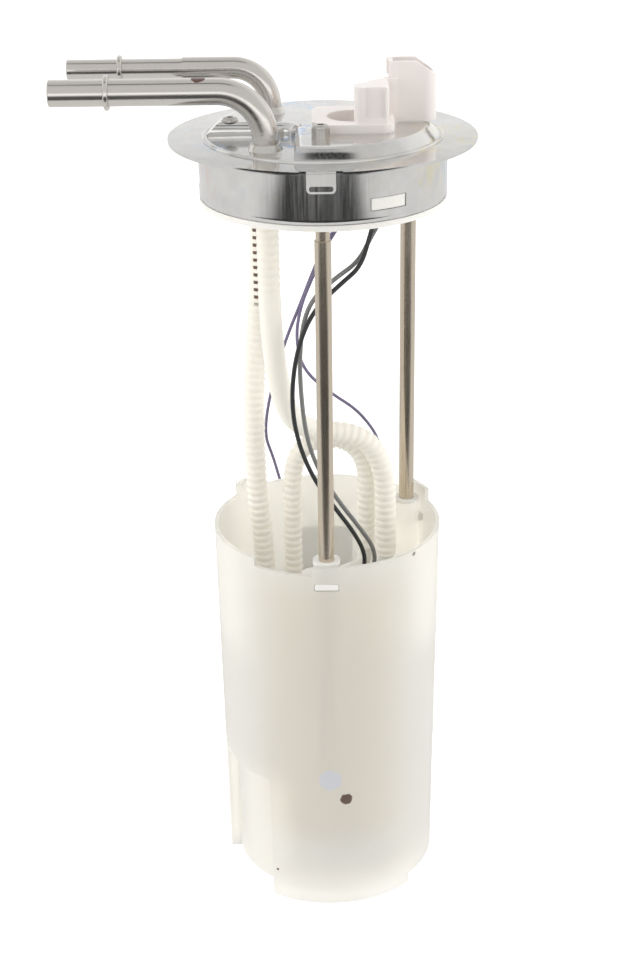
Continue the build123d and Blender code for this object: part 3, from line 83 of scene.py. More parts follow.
# ---- routes of the hoses and wires, in metres ---------------------------------------------
RETURN_HOSE_ROUTE: tuple[Point, ...] = (
    (-0.0322, 0.02, -0.031), (-0.0322, 0.02, -0.076), (-0.0356, 0.0176, -0.108),
    (-0.0378, 0.015, -0.15), (-0.0372, 0.0146, -0.194), (-0.0335, 0.015, -0.229),
    (-0.0335, 0.015, -0.2617),
)
FEED_HOSE_ROUTE: tuple[Point, ...] = (
    (-0.0272, -0.02, -0.031), (-0.0272, -0.02, -0.068), (-0.0262, -0.018, -0.098),
    (-0.0235, -0.0125, -0.124), (-0.0185, -0.007, -0.143), (-0.0065, -0.0015, -0.1535),
    (0.0095, 0.0025, -0.155), (0.0225, 0.005, -0.1615), (0.03, 0.006, -0.177), (0.0314, 0.006, -0.197),
    (0.0314, 0.006, -0.227),
)
JET_HOSE_ROUTE: tuple[Point, ...] = (
    (0.021, 0.014, -0.227), (0.0214, 0.0142, -0.1985), (0.0208, 0.0136, -0.1742),
    (0.0097, 0.0126, -0.1628), (-0.0064, 0.0125, -0.1628), (-0.0175, 0.0136, -0.1742),
    (-0.0185, 0.0146, -0.201), (-0.0183, 0.015, -0.258), (-0.0177, 0.014, -0.325),
    (-0.0177, 0.014, -0.3847),
)
BLACK_WIRE_ROUTE: tuple[Point, ...] = (
    (0.0384, 0.0035, -0.0109), (0.0365, 0.001, -0.01993), (0.027, -0.0035, -0.03289),
    (0.0225, -0.005, -0.0491), (0.018, -0.007, -0.06345), (0.0085, -0.014, -0.06947),
    (-0.003, -0.0225, -0.07757), (-0.011, -0.027, -0.09007), (-0.016, -0.028, -0.10998),
    (-0.017, -0.0265, -0.13197), (-0.0135, -0.025, -0.15212), (-0.0065, -0.025, -0.16994),
    (0.0036, -0.024, -0.18591), (0.014, -0.02, -0.20258), (0.02, -0.0165, -0.21693),
    (0.0185, -0.012, -0.2299), (0.0145, -0.008, -0.2424),
)
GREY_WIRE_ROUTE: tuple[Point, ...] = (
    (0.0418, 0.0035, -0.0109), (0.0405, 0.0025, -0.02201), (0.031, 0.0005, -0.03706),
    (0.0235, 0, -0.05002), (0.017, -0.003, -0.06206), (0.006, -0.0125, -0.06692),
    (-0.005, -0.02, -0.0741), (-0.0105, -0.023, -0.08498), (-0.0128, -0.0232, -0.10396),
    (-0.0124, -0.022, -0.12596), (-0.01, -0.0203, -0.14911), (-0.004, -0.0193, -0.16809),
    (0.006, -0.017, -0.18591), (0.017, -0.013, -0.20305), (0.0255, -0.009, -0.21809),
    (0.024, -0.0065, -0.23198), (0.019, -0.008, -0.2424),
)
SENDER_WIRE_ROUTE: tuple[Point, ...] = (
    (0.0452, 0.0035, -0.0109), (0.044, 0.007, -0.021), (0.028, 0.0082, -0.032),
    (0.012, 0.0075, -0.04009), (0.0015, 0.0065, -0.05311), (-0.006, 0.005, -0.06994),
    (-0.0125, 0.0055, -0.08701), (-0.0195, 0.009, -0.10497), (-0.0255, 0.019, -0.12697),
    (-0.031, 0.033, -0.15301), (-0.033, 0.044, -0.17411), (-0.0295, 0.053, -0.18893),
    (-0.0275, 0.0615, -0.20105), (-0.024, 0.065, -0.21699), (-0.013, 0.0655, -0.22709),
    (-0.006, 0.064, -0.2354),
)
GROUND_WIRE_ROUTE: tuple[Point, ...] = (
    (0.0486, 0.0035, -0.0109), (0.0465, 0.0045, -0.02011), (0.03, 0.0046, -0.02953),
    (0.013, 0.0028, -0.03807), (0.0025, 0.0015, -0.05198), (-0.0055, 0.0005, -0.06994),
    (-0.012, 0.003, -0.08611), (-0.015, 0.007, -0.10497), (-0.0115, 0.016, -0.12607),
    (0.0035, 0.0255, -0.14291), (0.0165, 0.034, -0.15503), (0.026, 0.047, -0.17209),
    (0.0295, 0.0565, -0.18399), (0.028, 0.0635, -0.19993), (0.02, 0.066, -0.21699),
    (0.011, 0.0655, -0.22709), (0.006, 0.064, -0.2354),
)


class Body(str, Enum):
    """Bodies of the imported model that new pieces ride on."""

    COVER = "cover"
    RESERVOIR = "reservoir"


class Stiffness(str, Enum):
    """How readily a hose or wire bends under its own weight."""

    STIFF = "stiff"
    LIMP = "limp"


# ---- shader building ----------------------------------------------------------------------
@dataclass
class Graph:
    """A node tree with short calls for adding and joining nodes."""

    tree: bpy.types.NodeTree

    def add(self, kind: str, inputs: dict | None = None, **settings: object) -> bpy.types.Node:
        """Adds a node, sets its properties and fills its inputs.

        Args:
            kind: Node type, without the "ShaderNode" prefix.
            inputs: Values or output sockets by input name or index.
            settings: Node properties by name.

        Returns:
            The new node.
        """
        node = self.tree.nodes.new(kind if kind.startswith("NodeGroup") else "ShaderNode" + kind)
        for key, value in settings.items():
            setattr(node, key, value)
        return self.fill(node, inputs or {})

    def fill(self, node: bpy.types.Node, inputs: dict) -> bpy.types.Node:
        """Gives a node's inputs their values.

        Args:
            node: The node.
            inputs: Values to set or output sockets to join, by input name or index.

        Returns:
            The same node.
        """
        for key, value in inputs.items():
            if isinstance(value, Socket):
                self.tree.links.new(value, node.inputs[key])
            else:
                node.inputs[key].default_value = value
        return node

    def use(self, group: bpy.types.NodeTree, inputs: dict) -> bpy.types.Node:
        """Adds a shared group with its own values."""
        return self.add("Group", inputs, node_tree=group)

    def place(self) -> Socket:
        """Object coordinates, in metres."""
        return self.add("TexCoord").outputs["Object"]

    def split(self, vector: Socket) -> bpy.types.NodeOutputs:
        """The X, Y and Z of a vector."""
        return self.add("SeparateXYZ", {0: vector}).outputs

    def scaled(self, vector: Socket, scale: Point) -> Socket:
        """A vector with each axis scaled."""
        return self.add("Mapping", {"Vector": vector, "Scale": scale}).outputs["Vector"]

    def shaded(self, colour: Colour, shade: Socket) -> Socket:
        """A colour made lighter or darker by a value about 1."""
        return self.add("VectorMath", {0: colour, "Scale": shade}, operation="SCALE").outputs["Vector"]

    def noise(self, vector: Socket, scale: object, detail: float = 3.0, rough: float = 0.5) -> Socket:
        """Noise value of a vector at a scale in cells per metre."""
        inputs = {"Vector": vector, "Scale": scale, "Detail": detail, "Roughness": rough}
        return self.add("TexNoise", inputs).outputs["Fac"]

    def ramp(self, value: Socket, low: float, high: float, start: float = 0.0, end: float = 1.0) -> Socket:
        """Smooth change from start to end while a value goes from low to high."""
        inputs = {"Value": value, "From Min": low, "From Max": high, "To Min": start, "To Max": end}
        return self.add("MapRange", inputs, interpolation_type="SMOOTHSTEP").outputs["Result"]

    def math(self, operation: str, first: Socket, second: object = 0.0) -> Socket:
        """Result of a Math node."""
        return self.add("Math", {0: first, 1: second}, operation=operation).outputs["Value"]

    def times(self, first: Socket, *others: object) -> Socket:
        """Product of a value and the others."""
        return reduce(partial(self.math, "MULTIPLY"), others, first)

    def apart(self, value: Socket, middle: float) -> Socket:
        """How far a value is from a middle, whichever way."""
        return self.math("ABSOLUTE", self.math("SUBTRACT", value, middle))

    def mix(self, mask: Socket, first: object, second: object) -> Socket:
        """Colour that goes from first to second as a mask goes from 0 to 1."""
        pair = [value if isinstance(value, Socket) else (*value, 1.0) for value in (first, second)]
        return self.add("MixRGB", {"Fac": mask, "Color1": pair[0], "Color2": pair[1]}).outputs["Color"]


def new_group(
    name: str, inputs: dict[str, str], outputs: dict[str, str]
) -> tuple[Graph, dict[str, Socket], bpy.types.Node]:
    """Starts a shader node group.

    Args:
        name: Name of the group.
        inputs: Socket kind of each input, by name.
        outputs: Socket kind of each output, by name.

    Returns:
        The group's graph, its input sockets by name, and its output node.
    """
    tree = bpy.data.node_groups.new(name, "ShaderNodeTree")
    for side, sockets in (("INPUT", inputs), ("OUTPUT", outputs)):
        for label, kind in sockets.items():
            tree.interface.new_socket(label, in_out=side, socket_type="NodeSocket" + kind)
    graph = Graph(tree)
    entry = graph.add("NodeGroupInput")
    leave = graph.add("NodeGroupOutput")
    return graph, {label: entry.outputs[label] for label in inputs}, leave


class Effects:
    """Node groups that several finishes share, each built once."""

    def __init__(self) -> None:
        """Builds every group."""
        self.mottle = self.build_mottle()
        self.lines = self.build_lines()
        self.spot = self.build_spot()
        self.film = self.build_film()
        self.box = self.build_box()

    @staticmethod
    def build_mottle(detail: float = 5.0) -> bpy.types.NodeTree:
        """Cloudy variation at one size.

        Args:
            detail: How fine the clouds are broken up.

        Returns:
            The group: it gives a value about 1 for a colour, and a height.
        """
        graph, given, leave = new_group(
            "Mottle", {"Vector": "Vector", "Scale": "Float", "Depth": "Float"},
            {"Shade": "Float", "Height": "Float"},
        )
        cloud = graph.noise(given["Vector"], given["Scale"], detail)
        away = graph.times(graph.math("SUBTRACT", cloud, 0.5), given["Depth"])
        graph.fill(leave, {"Shade": graph.math("ADD", away, 1.0), "Height": cloud})
        return graph.tree

    @staticmethod
    def build_lines(detail: float = 6.0, rough: float = 0.65) -> bpy.types.NodeTree:
        """Fine drawn lines along one axis, from noise stretched by a scale per axis.

        Args:
            detail: How fine the lines are broken up.
            rough: How strong the finest lines are.

        Returns:
            The group: it gives a height.
        """
        graph, given, leave = new_group(
            "DrawnLines", {"Vector": "Vector", "Scale": "Vector"}, {"Height": "Float"}
        )
        stretched = graph.add("VectorMath", {0: given["Vector"], 1: given["Scale"]}, operation="MULTIPLY")
        graph.fill(leave, {"Height": graph.noise(stretched.outputs[0], 1.0, detail, rough)})
        return graph.tree

    @staticmethod
    def build_spot(cells: float = 420.0, edge: Span = (1.08, 0.9)) -> bpy.types.NodeTree:
        """Spot with a ragged edge round a centre.

        Args:
            cells: Cells per metre of the noise that makes the edge ragged.
            edge: Shares of the radius between which the spot begins.

        Returns:
            The group: it gives a mask.
        """
        graph, given, leave = new_group(
            "RaggedSpot", {"Vector": "Vector", "Centre": "Vector", "Radius": "Float", "Ragged": "Float"},
            {"Mask": "Float"},
        )
        away = graph.math("SUBTRACT", graph.noise(given["Vector"], cells), 0.5)
        gap = graph.add("VectorMath", {0: given["Vector"], 1: given["Centre"]}, operation="DISTANCE")
        share = graph.math("DIVIDE", gap.outputs["Value"], given["Radius"])
        share = graph.math("ADD", share, graph.times(away, given["Ragged"]))
        graph.fill(leave, {"Mask": graph.ramp(share, *edge)})
        return graph.tree

    @staticmethod
    def build_film(patch_scale: float = 2.3, edge: Span = (0.5, 0.66)) -> bpy.types.NodeTree:
        """Thin coloured film of passivated tin, from blue through grey to gold.

        Args:
            patch_scale: How much finer its patches are than its changes of tint.
            edge: Noise values between which a patch begins.

        Returns:
            The group: it gives the film's tint and the mask of its patches.
        """
        graph, given, leave = new_group(
            "TintFilm", {"Vector": "Vector", "Scale": "Float"}, {"Tint": "Color", "Mask": "Float"}
        )
        tints = graph.add("ValToRGB", {"Fac": graph.noise(given["Vector"], given["Scale"], detail=4.0)})
        stops = tints.color_ramp.elements
        stops[0].position, stops[0].color = 0.36, (0.42, 0.62, 0.92, 1.0)
        stops[1].position, stops[1].color = 0.64, (0.95, 0.78, 0.42, 1.0)
        stops.new(0.5).color = (0.85, 0.84, 0.80, 1.0)
        patch = graph.noise(given["Vector"], graph.times(given["Scale"], patch_scale), detail=5.0)
        graph.fill(leave, {"Tint": tints.outputs["Color"], "Mask": graph.ramp(patch, *edge)})
        return graph.tree

    @staticmethod
    def build_box() -> bpy.types.NodeTree:
        """Box with soft edges.

        Returns:
            The group: it gives a mask, 1 well inside the box and 0 outside.
        """
        graph, given, leave = new_group(
            "SoftBox", {"Vector": "Vector", "Centre": "Vector", "Half": "Vector", "Soft": "Float"},
            {"Mask": "Float"},
        )
        away = graph.add("VectorMath", {0: given["Vector"], 1: given["Centre"]}, operation="SUBTRACT")
        size = graph.add("VectorMath", {0: away.outputs[0]}, operation="ABSOLUTE")
        over = graph.add("VectorMath", {0: size.outputs[0], 1: given["Half"]}, operation="SUBTRACT")
        parts = graph.split(over.outputs[0])
        inside = [graph.ramp(graph.math("DIVIDE", parts[axis], given["Soft"]), 0.0, -1.0) for axis in "XYZ"]
        graph.fill(leave, {"Mask": graph.times(*inside)})
        return graph.tree


@dataclass
class Shop:
    """Makes materials: holds the shared effects and every finish made so far."""

    effects: Effects
    made: dict[str, bpy.types.Material] = field(default_factory=dict)

    def start(self, name: str) -> tuple[bpy.types.Material, Graph, bpy.types.Node]:
        """Starts a material.

        Args:
            name: Name of the material.

        Returns:
            The material, its graph and its Principled shader.
        """
        material = bpy.data.materials.new(name)
        material.use_nodes = True
        self.made[name] = material
        return material, Graph(material.node_tree), material.node_tree.nodes["Principled BSDF"]

    def cloud(self, graph: Graph, vector: Socket, scale: float, depth: float) -> bpy.types.NodeOutputs:
        """Shade and height of the shared mottle."""
        return graph.use(self.effects.mottle, {"Vector": vector, "Scale": scale, "Depth": depth}).outputs

    @staticmethod
    def bump(graph: Graph, shader: bpy.types.Node, height: Socket, depth: float,
             under: Socket | None = None) -> Socket:
        """Feeds a height into a shader's normal.

        Args:
            graph: The material's graph.
            shader: Its Principled shader.
            height: Height between 0 and 1.
            depth: How deep the height is, in metres.
            under: Normal of an earlier bump that this one lies over.

        Returns:
            The new normal.
        """
        inputs = {"Height": height, "Distance": depth, "Strength": 1.0}
        if under is not None:
            inputs["Normal"] = under
        normal = graph.add("Bump", inputs).outputs["Normal"]
        graph.fill(shader, {"Normal": normal})
        return normal


@dataclass(frozen=True)
class Spot:
    """A dab, stain or moulding mark on a surface."""

    centre: Point
    radius: float
    colour: Colour
    ragged: float = 0.5

    def mask(self, graph: Graph, shop: Shop, place: Socket) -> Socket:
        """Where the spot lies: 1 inside it and 0 outside."""
        inputs = {"Vector": place, "Centre": self.centre, "Radius": self.radius, "Ragged": self.ragged}
        return graph.use(shop.effects.spot, inputs).outputs["Mask"]


@dataclass(frozen=True)
class SoftBox:
    """Part of a translucent wall, as a box with soft edges, where a shadow or light shows through."""

    centre: Point
    half: Point
    soft: float
    colour: Colour
    strength: float
    within: float = 0.0
    wall_edge: float = 0.3 * MM

    def mask(self, graph: Graph, shop: Shop, place: Socket) -> Socket:
        """How strongly it shows.

        Args:
            graph: The material's graph.
            shop: Where the shared effects are kept.
            place: Object coordinates.

        Returns:
            The mask, which ends at a radius from the object's axis where within gives one.
        """
        inputs = {"Vector": place, "Centre": self.centre, "Half": self.half, "Soft": self.soft}
        found = graph.use(shop.effects.box, inputs).outputs["Mask"]
        if self.within:
            flat = graph.scaled(place, (1.0, 1.0, 0.0))
            radius = graph.add("VectorMath", {0: flat}, operation="LENGTH").outputs["Value"]
            found = graph.times(found, graph.ramp(radius, self.within, self.within - self.wall_edge))
        return graph.times(found, self.strength)


@dataclass(frozen=True)
class MetalFinish:
    """Bare or plated metal with drawn lines, waviness, coloured film and stains.

    Scales are in cells per metre, and depths and places in metres. A roll is a rounded edge: the height
    where it starts, the height where it ends, and its depth.
    """

    name: str
    colour: Colour
    roughness: float
    metallic: float = 1.0
    lines: Point = (1200.0, 1200.0, 40.0)
    line_depth: float = 4e-6
    line_range: Span = (0.3, 0.75)
    rough_spread: Span = (0.75, 1.45)
    wave_scale: float = 60.0
    wave_depth: float = 3e-5
    film_scale: float = 0.0
    film_amount: float = 0.0
    film_strength: float = 0.7
    film_spots: tuple[Spot, ...] = ()
    streaks: Point = (220.0, 220.0, 90.0)
    streak_range: Span = (0.4, 0.66)
    rolls: tuple[Point, ...] = ()
    shade_scale: float = 90.0
    shade_depth: float = 0.28
    spots: tuple[Spot, ...] = ()

    def make(self, shop: Shop) -> bpy.types.Material:
        """Builds the material.

        Args:
            shop: Where the shared effects are kept.

        Returns:
            The finished material.
        """
        material, graph, shader = shop.start(self.name)
        place = graph.place()
        mottle = shop.cloud(graph, place, self.shade_scale, self.shade_depth)
        colour = graph.shaded(self.colour, mottle["Shade"])
        if self.film_amount or self.film_spots:
            film = graph.use(shop.effects.film, {"Vector": place, "Scale": self.film_scale})
            amount = graph.times(film.outputs["Mask"], self.film_amount)
            colour = graph.mix(amount, colour, film.outputs["Tint"])
            streaks = graph.noise(graph.scaled(place, self.streaks), 1.0, detail=5.0)
            streaks = graph.ramp(streaks, *self.streak_range)
            for spot in self.film_spots:
                mask = graph.times(spot.mask(graph, shop, place), streaks, self.film_strength)
                colour = graph.mix(mask, colour, spot.colour)
        metallic = self.metallic
        for spot in self.spots:
            mask = spot.mask(graph, shop, place)
            colour = graph.mix(mask, colour, spot.colour)
            metallic = graph.times(graph.ramp(mask, 0.0, 1.0, 1.0, 0.0), metallic)
        drawn = graph.use(shop.effects.lines, {"Vector": place, "Scale": self.lines}).outputs["Height"]
        rough = graph.ramp(drawn, *self.line_range, *(self.roughness * share for share in self.rough_spread))
        graph.fill(shader, {"Base Color": colour, "Metallic": metallic, "Roughness": rough})
        wave = graph.noise(place, self.wave_scale, detail=1.0)
        under = Shop.bump(graph, shader, wave, self.wave_depth)
        for start, end, depth in self.rolls:
            share = graph.ramp(graph.split(place)["Z"], start, end)
            under = Shop.bump(graph, shader, graph.math("POWER", share, 2.0), -depth, under)
        Shop.bump(graph, shader, drawn, self.line_depth, under)
        return material


@dataclass(frozen=True)
class PlasticFinish:
    """Moulded plastic or rubber with flow marks, fine grain and a little wear, and on translucent walls a
    painted shadow and painted light.
    """

    name: str
    colour: Colour
    roughness: float
    shade_depth: float = 0.08
    flow_scale: float = 35.0
    flow_stretch: Point = (1.0, 1.0, 0.35)
    flow_range: Span = (0.3, 0.7)
    rough_spread: Span = (0.85, 1.2)
    grain_scale: float = 1500.0
    grain_depth: float = 6e-6
    clear: float = 0.0
    refraction: float = 1.5
    under_weight: float = 0.0
    under_radius: Colour = (1.0, 0.95, 0.88)
    under_scale: float = 2 * MM
    spots: tuple[Spot, ...] = ()
    # Painted shadow: a darker colour where shade shows through a translucent wall.
    painted_shade: SoftBox | None = None
    # Painted light: boxes of emission glow on a part that is no lamp.
    lit: tuple[SoftBox, ...] = ()

    def make(self, shop: Shop) -> bpy.types.Material:
        """Builds the material.

        Args:
            shop: Where the shared effects are kept.

        Returns:
            The finished material.
        """
        material, graph, shader = shop.start(self.name)
        place = graph.place()
        flow = shop.cloud(graph, graph.scaled(place, self.flow_stretch), self.flow_scale, self.shade_depth)
        colour = graph.shaded(self.colour, flow["Shade"])
        # Painted shadow, mixed into the base colour where shade would show through the wall.
        if self.painted_shade:
            colour = graph.mix(self.painted_shade.mask(graph, shop, place), colour, self.painted_shade.colour)
        # Painted light: the strongest glow box sets an emission glow on the surface.
        if self.lit:
            masks = [box.mask(graph, shop, place) for box in self.lit]
            strongest = reduce(partial(graph.math, "MAXIMUM"), masks)
            glow = graph.mix(strongest, BLACK, self.lit[0].colour)
            graph.fill(shader, {"Emission Color": glow, "Emission Strength": 1.0})
        for spot in self.spots:
            colour = graph.mix(spot.mask(graph, shop, place), colour, spot.colour)
        rough_ends = (self.roughness * share for share in self.rough_spread)
        graph.fill(shader, {
            "Base Color": colour, "Roughness": graph.ramp(flow["Height"], *self.flow_range, *rough_ends),
            "Transmission Weight": self.clear, "IOR": self.refraction,
        })
        if self.under_weight:
            graph.fill(shader, {
                "Subsurface Weight": self.under_weight, "Subsurface Radius": self.under_radius,
                "Subsurface Scale": self.under_scale,
            })
        grain = shop.cloud(graph, place, self.grain_scale, 1.0)
        Shop.bump(graph, shader, grain["Height"], self.grain_depth)
        return material


@dataclass(frozen=True)
class HoseFinish:
    """Translucent nylon of the corrugated hoses, with painted shade in the furrows between its ridges,
    painted shade where the steel tube inside shows through those furrows, and a painted glow elsewhere.
    """

    name: str
    colour: Colour = (0.765, 0.735, 0.655)
    flow_scale: float = 60.0
    flow_depth: float = 0.1
    # Painted shade: the colour painted into the furrows between the ridges.
    valley_shade: Colour = (0.735, 0.70, 0.61)
    valley_share: float = 0.6
    valley_range: Span = (0.35, 0.8)
    # Painted light: an even emission glow on the hose, left off where the steel shade is painted.
    glow: float = 0.14
    glow_colour: Colour = (1.0, 0.98, 0.93)
    # Painted shade: the steel tube inside, seen darkly through the thin furrows near steel_x.
    painted_steel_shade: Colour = (0.13, 0.075, 0.055)
    steel_x: float = -34.8 * MM
    steel_half: float = 1.1 * MM
    steel_soft: float = 0.3 * MM
    roughness: float = 0.36
    under_weight: float = 0.35
    under_radius: Colour = (1.0, 0.9, 0.7)
    under_scale: float = 1.5 * MM
    grain_scale: float = 900.0
    grain_depth: float = 1.2e-5

    def make(self, shop: Shop) -> bpy.types.Material:
        """Builds the material.

        Args:
            shop: Where the shared effects are kept.

        Returns:
            The finished material.
        """
        material, graph, shader = shop.start(self.name)
        place = graph.place()
        tone = graph.shaded(self.colour, shop.cloud(graph, place, self.flow_scale, self.flow_depth)["Shade"])
        # Masks of the painted furrow shade and the painted steel shade, kept on the hose's mesh.
        valley_shade = graph.add("Attribute", attribute_name="valley_shade").outputs["Fac"]
        painted_shade = graph.add("Attribute", attribute_name="painted_steel_shade").outputs["Fac"]
        colour = graph.mix(graph.times(valley_shade, self.valley_share), tone, self.valley_shade)
        beside = graph.ramp(
            graph.apart(graph.split(place)["X"], self.steel_x),
            self.steel_half + self.steel_soft, self.steel_half - self.steel_soft,
        )
        # Painted shade of the steel tube inside, only in the furrows beside it.
        painted_shade = graph.times(graph.ramp(valley_shade, *self.valley_range), painted_shade, beside)
        # Painted light: the glow, everywhere except the painted steel shade.
        lit = graph.mix(graph.ramp(painted_shade, 0.0, 1.0, self.glow, 0.0), BLACK, self.glow_colour)
        graph.fill(shader, {
            "Base Color": graph.mix(painted_shade, colour, self.painted_steel_shade), "Roughness": self.roughness,
            "Emission Color": lit, "Emission Strength": 1.0, "Subsurface Weight": self.under_weight,
            "Subsurface Radius": self.under_radius, "Subsurface Scale": self.under_scale,
        })
        grain = shop.cloud(graph, place, self.grain_scale, 1.0)
        Shop.bump(graph, shader, grain["Height"], self.grain_depth)
        return material


@dataclass(frozen=True)
class WovenFinish:
    """Woven nylon of the strainers: threads across each other."""

    name: str
    thread: Colour
    gap: Colour
    threads_per_metre: float = 1400.0
    distortion: float = 0.3
    thread_range: Span = (0.1, 0.7)
    roughness: float = 0.6
    depth: float = 1.2e-4

    def make(self, shop: Shop) -> bpy.types.Material:
        """Builds the material.

        Args:
            shop: Where the shared effects are kept.

        Returns:
            The finished material.
        """
        material, graph, shader = shop.start(self.name)
        waves = {"Vector": graph.place(), "Scale": self.threads_per_metre, "Distortion": self.distortion}
        height = graph.times(*(
            graph.add("TexWave", waves, wave_type="BANDS", bands_direction=way).outputs["Fac"] for way in "XY"
        ))
        colour = graph.mix(graph.ramp(height, *self.thread_range), self.gap, self.thread)
        graph.fill(shader, {"Base Color": colour, "Roughness": self.roughness})
        Shop.bump(graph, shader, height, self.depth)
        return material


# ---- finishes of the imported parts, with places and sizes in metres ------------------------
INK = (0.09, 0.045, 0.03)
DRY_INK = (0.16, 0.10, 0.075)
FILM_BLUE = (0.16, 0.42, 0.85)
FILM_GOLD = (0.80, 0.735, 0.50)
FILM_ROSE = (0.76, 0.64, 0.58)
FILM_PALE = (0.42, 0.62, 0.84)
# Colour of the painted light that glows on the reservoir.
DAYLIGHT = (1.0, 0.98, 0.94)

SKIRT_EDGE: Point = (-24.3 * MM, -27.2 * MM, 0.6 * MM)
SHOULDER_FOOT: Point = (3.6 * MM, 0.4 * MM, 0.17 * MM)
SHOULDER_TOP: Point = (3.6 * MM, 7.0 * MM, 0.17 * MM)

METALS: tuple[MetalFinish, ...] = (
    MetalFinish(
        "plated_steel", (0.72, 0.712, 0.695), 0.12, lines=(900.0, 900.0, 25.0), wave_scale=28.0,
        wave_depth=6e-5, film_scale=45.0, film_amount=0.12, film_strength=0.6,
        rolls=(SKIRT_EDGE, SHOULDER_FOOT, SHOULDER_TOP),
        film_spots=(
            Spot((0.064, -0.006, 0.002), 0.022, FILM_GOLD, 1.2),
            Spot((0.058, -0.014, -0.010), 0.010, FILM_PALE, 1.2),
            Spot((0.050, -0.034, -0.006), 0.012, FILM_GOLD, 1.2),
            Spot((-0.012, -0.016, 0.002), 0.012, FILM_BLUE, 1.0),
            Spot((-0.050, -0.022, 0.002), 0.010, FILM_PALE, 1.2),
            Spot((-0.006, 0.042, 0.0075), 0.014, FILM_PALE, 1.4),
            Spot((0.004, 0.046, 0.0075), 0.014, FILM_ROSE, 1.4),
            Spot((-0.056, -0.022, -0.012), 0.012, FILM_ROSE, 1.4),
        ),
    ),
    MetalFinish(
        "line_tube_steel", (0.66, 0.63, 0.59), 0.17, metallic=0.92, lines=(20.0, 250.0, 250.0),
        line_depth=0.6e-6, wave_scale=70.0, wave_depth=1e-5, shade_depth=0.06,
        spots=(Spot((-0.0574, -0.0309, 0.0352), 0.0033, INK, 0.4),),
    ),
    MetalFinish(
        "rod_steel", (0.64, 0.56, 0.455), 0.22, metallic=0.95, lines=(60.0, 60.0, 8.0),
        line_depth=0.5e-6, wave_depth=0.5e-5, shade_depth=0.04,
    ),
    MetalFinish("screw_steel", (0.56, 0.54, 0.51), 0.28, wave_depth=1e-5),
    MetalFinish("spring_steel", (0.55, 0.54, 0.52), 0.3, wave_depth=0.5e-5),
    MetalFinish("pump_steel", (0.52, 0.51, 0.49), 0.28, film_scale=60.0, film_amount=0.1),
    MetalFinish("braze", (0.66, 0.64, 0.60), 0.22, wave_scale=300.0, shade_depth=0.1),
    MetalFinish("terminal_brass", (0.72, 0.68, 0.60), 0.25),
    MetalFinish("armature_winding", (0.60, 0.28, 0.13), 0.35, lines=(1800.0, 1800.0, 1800.0)),
)

PLASTICS: tuple[PlasticFinish, ...] = (
    PlasticFinish("white_nylon", (0.85, 0.80, 0.77), 0.42, under_weight=0.3),
    PlasticFinish("carrier_nylon", (0.84, 0.82, 0.77), 0.42, under_weight=0.25),
    PlasticFinish(
        "reservoir_plastic", (0.95, 0.93, 0.87), 0.42, shade_depth=0.05, clear=0.4,
        # Painted shadow of the pump inside: a warm, darker cloud on the front wall.
        painted_shade=SoftBox((0.001, -0.050, -0.290), (0.046, 0.040, 0.088), 0.024, (0.82, 0.70, 0.50), 0.27),
        # Painted light: glows on the pocket's wall, near the bottom and inside the top.
        lit=(
            SoftBox((-0.056, -0.020, -0.371), (0.008, 0.030, 0.040), 0.006, DAYLIGHT, 0.17),
            SoftBox((0.0, -0.010, -0.415), (0.070, 0.070, 0.036), 0.03, DAYLIGHT, 0.10),
            SoftBox((-0.044, -0.040, -0.371), (0.030, 0.030, 0.048), 0.02, DAYLIGHT, 0.06),
            SoftBox((0.0, 0.014, -0.230), (0.066, 0.060, 0.044), 0.02, DAYLIGHT, 0.19, within=57.9 * MM),
        ),
        spots=(
            Spot((0.0, -0.0576, -0.3293), 0.0062, (0.83, 0.845, 0.885), 0.5),
            Spot((0.0084, -0.0568, -0.3413), 0.0033, DRY_INK, 0.5),
            Spot((-0.0291, -0.0487, -0.3911), 0.0008, INK, 0.3),
            Spot((0.0439, -0.040, -0.2054), 0.0012, (0.30, 0.27, 0.22), 0.5),
        ),
    ),
    PlasticFinish("bush_acetal", (0.86, 0.85, 0.81), 0.35),
    PlasticFinish("pump_plastic", (0.62, 0.60, 0.55), 0.45),
    PlasticFinish("sensor_plastic", (0.80, 0.79, 0.75), 0.45),
    PlasticFinish("sensor_ceramic", (0.72, 0.70, 0.66), 0.3),
    PlasticFinish("impeller_plastic", (0.16, 0.14, 0.12), 0.4),
    PlasticFinish("seal_rubber", (0.03, 0.03, 0.032), 0.6, grain_depth=2e-5),
    PlasticFinish("valve_rubber", (0.05, 0.045, 0.04), 0.6, grain_depth=2e-5),
    PlasticFinish("float_rubber", (0.05, 0.05, 0.05), 0.75, grain_depth=8e-5),
    PlasticFinish("magnet_ferrite", (0.07, 0.07, 0.075), 0.6, grain_depth=3e-5),
    PlasticFinish("black_jacket", (0.022, 0.024, 0.024), 0.38, shade_depth=0.5, grain_depth=1e-5),
    PlasticFinish("grey_jacket", (0.20, 0.20, 0.195), 0.38, shade_depth=0.3, grain_depth=1e-5),
    PlasticFinish("purple_jacket", (0.165, 0.14, 0.235), 0.4, shade_depth=0.3, grain_depth=1e-5),
)

STRAINER_MESH = WovenFinish("filter_mesh", (0.78, 0.77, 0.72), (0.25, 0.24, 0.22))
HOSE_NYLON = HoseFinish("hose_nylon")


def dress(frame: dict, shop: Shop) -> None:
    """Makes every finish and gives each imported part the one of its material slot.

    Args:
        shop: Makes the finishes.
    """
    for finish in (*METALS, *PLASTICS, STRAINER_MESH, HOSE_NYLON):
        finish.make(shop)
    for part in frame["record"]["subparts"]:
        node = frame["nodes"][part["node"]]
        for slot in node.material_slots:
            slot.material = shop.made[part["material_slot"]]
        LOG.info("dressed %s in %s", node.name, part["material_slot"])


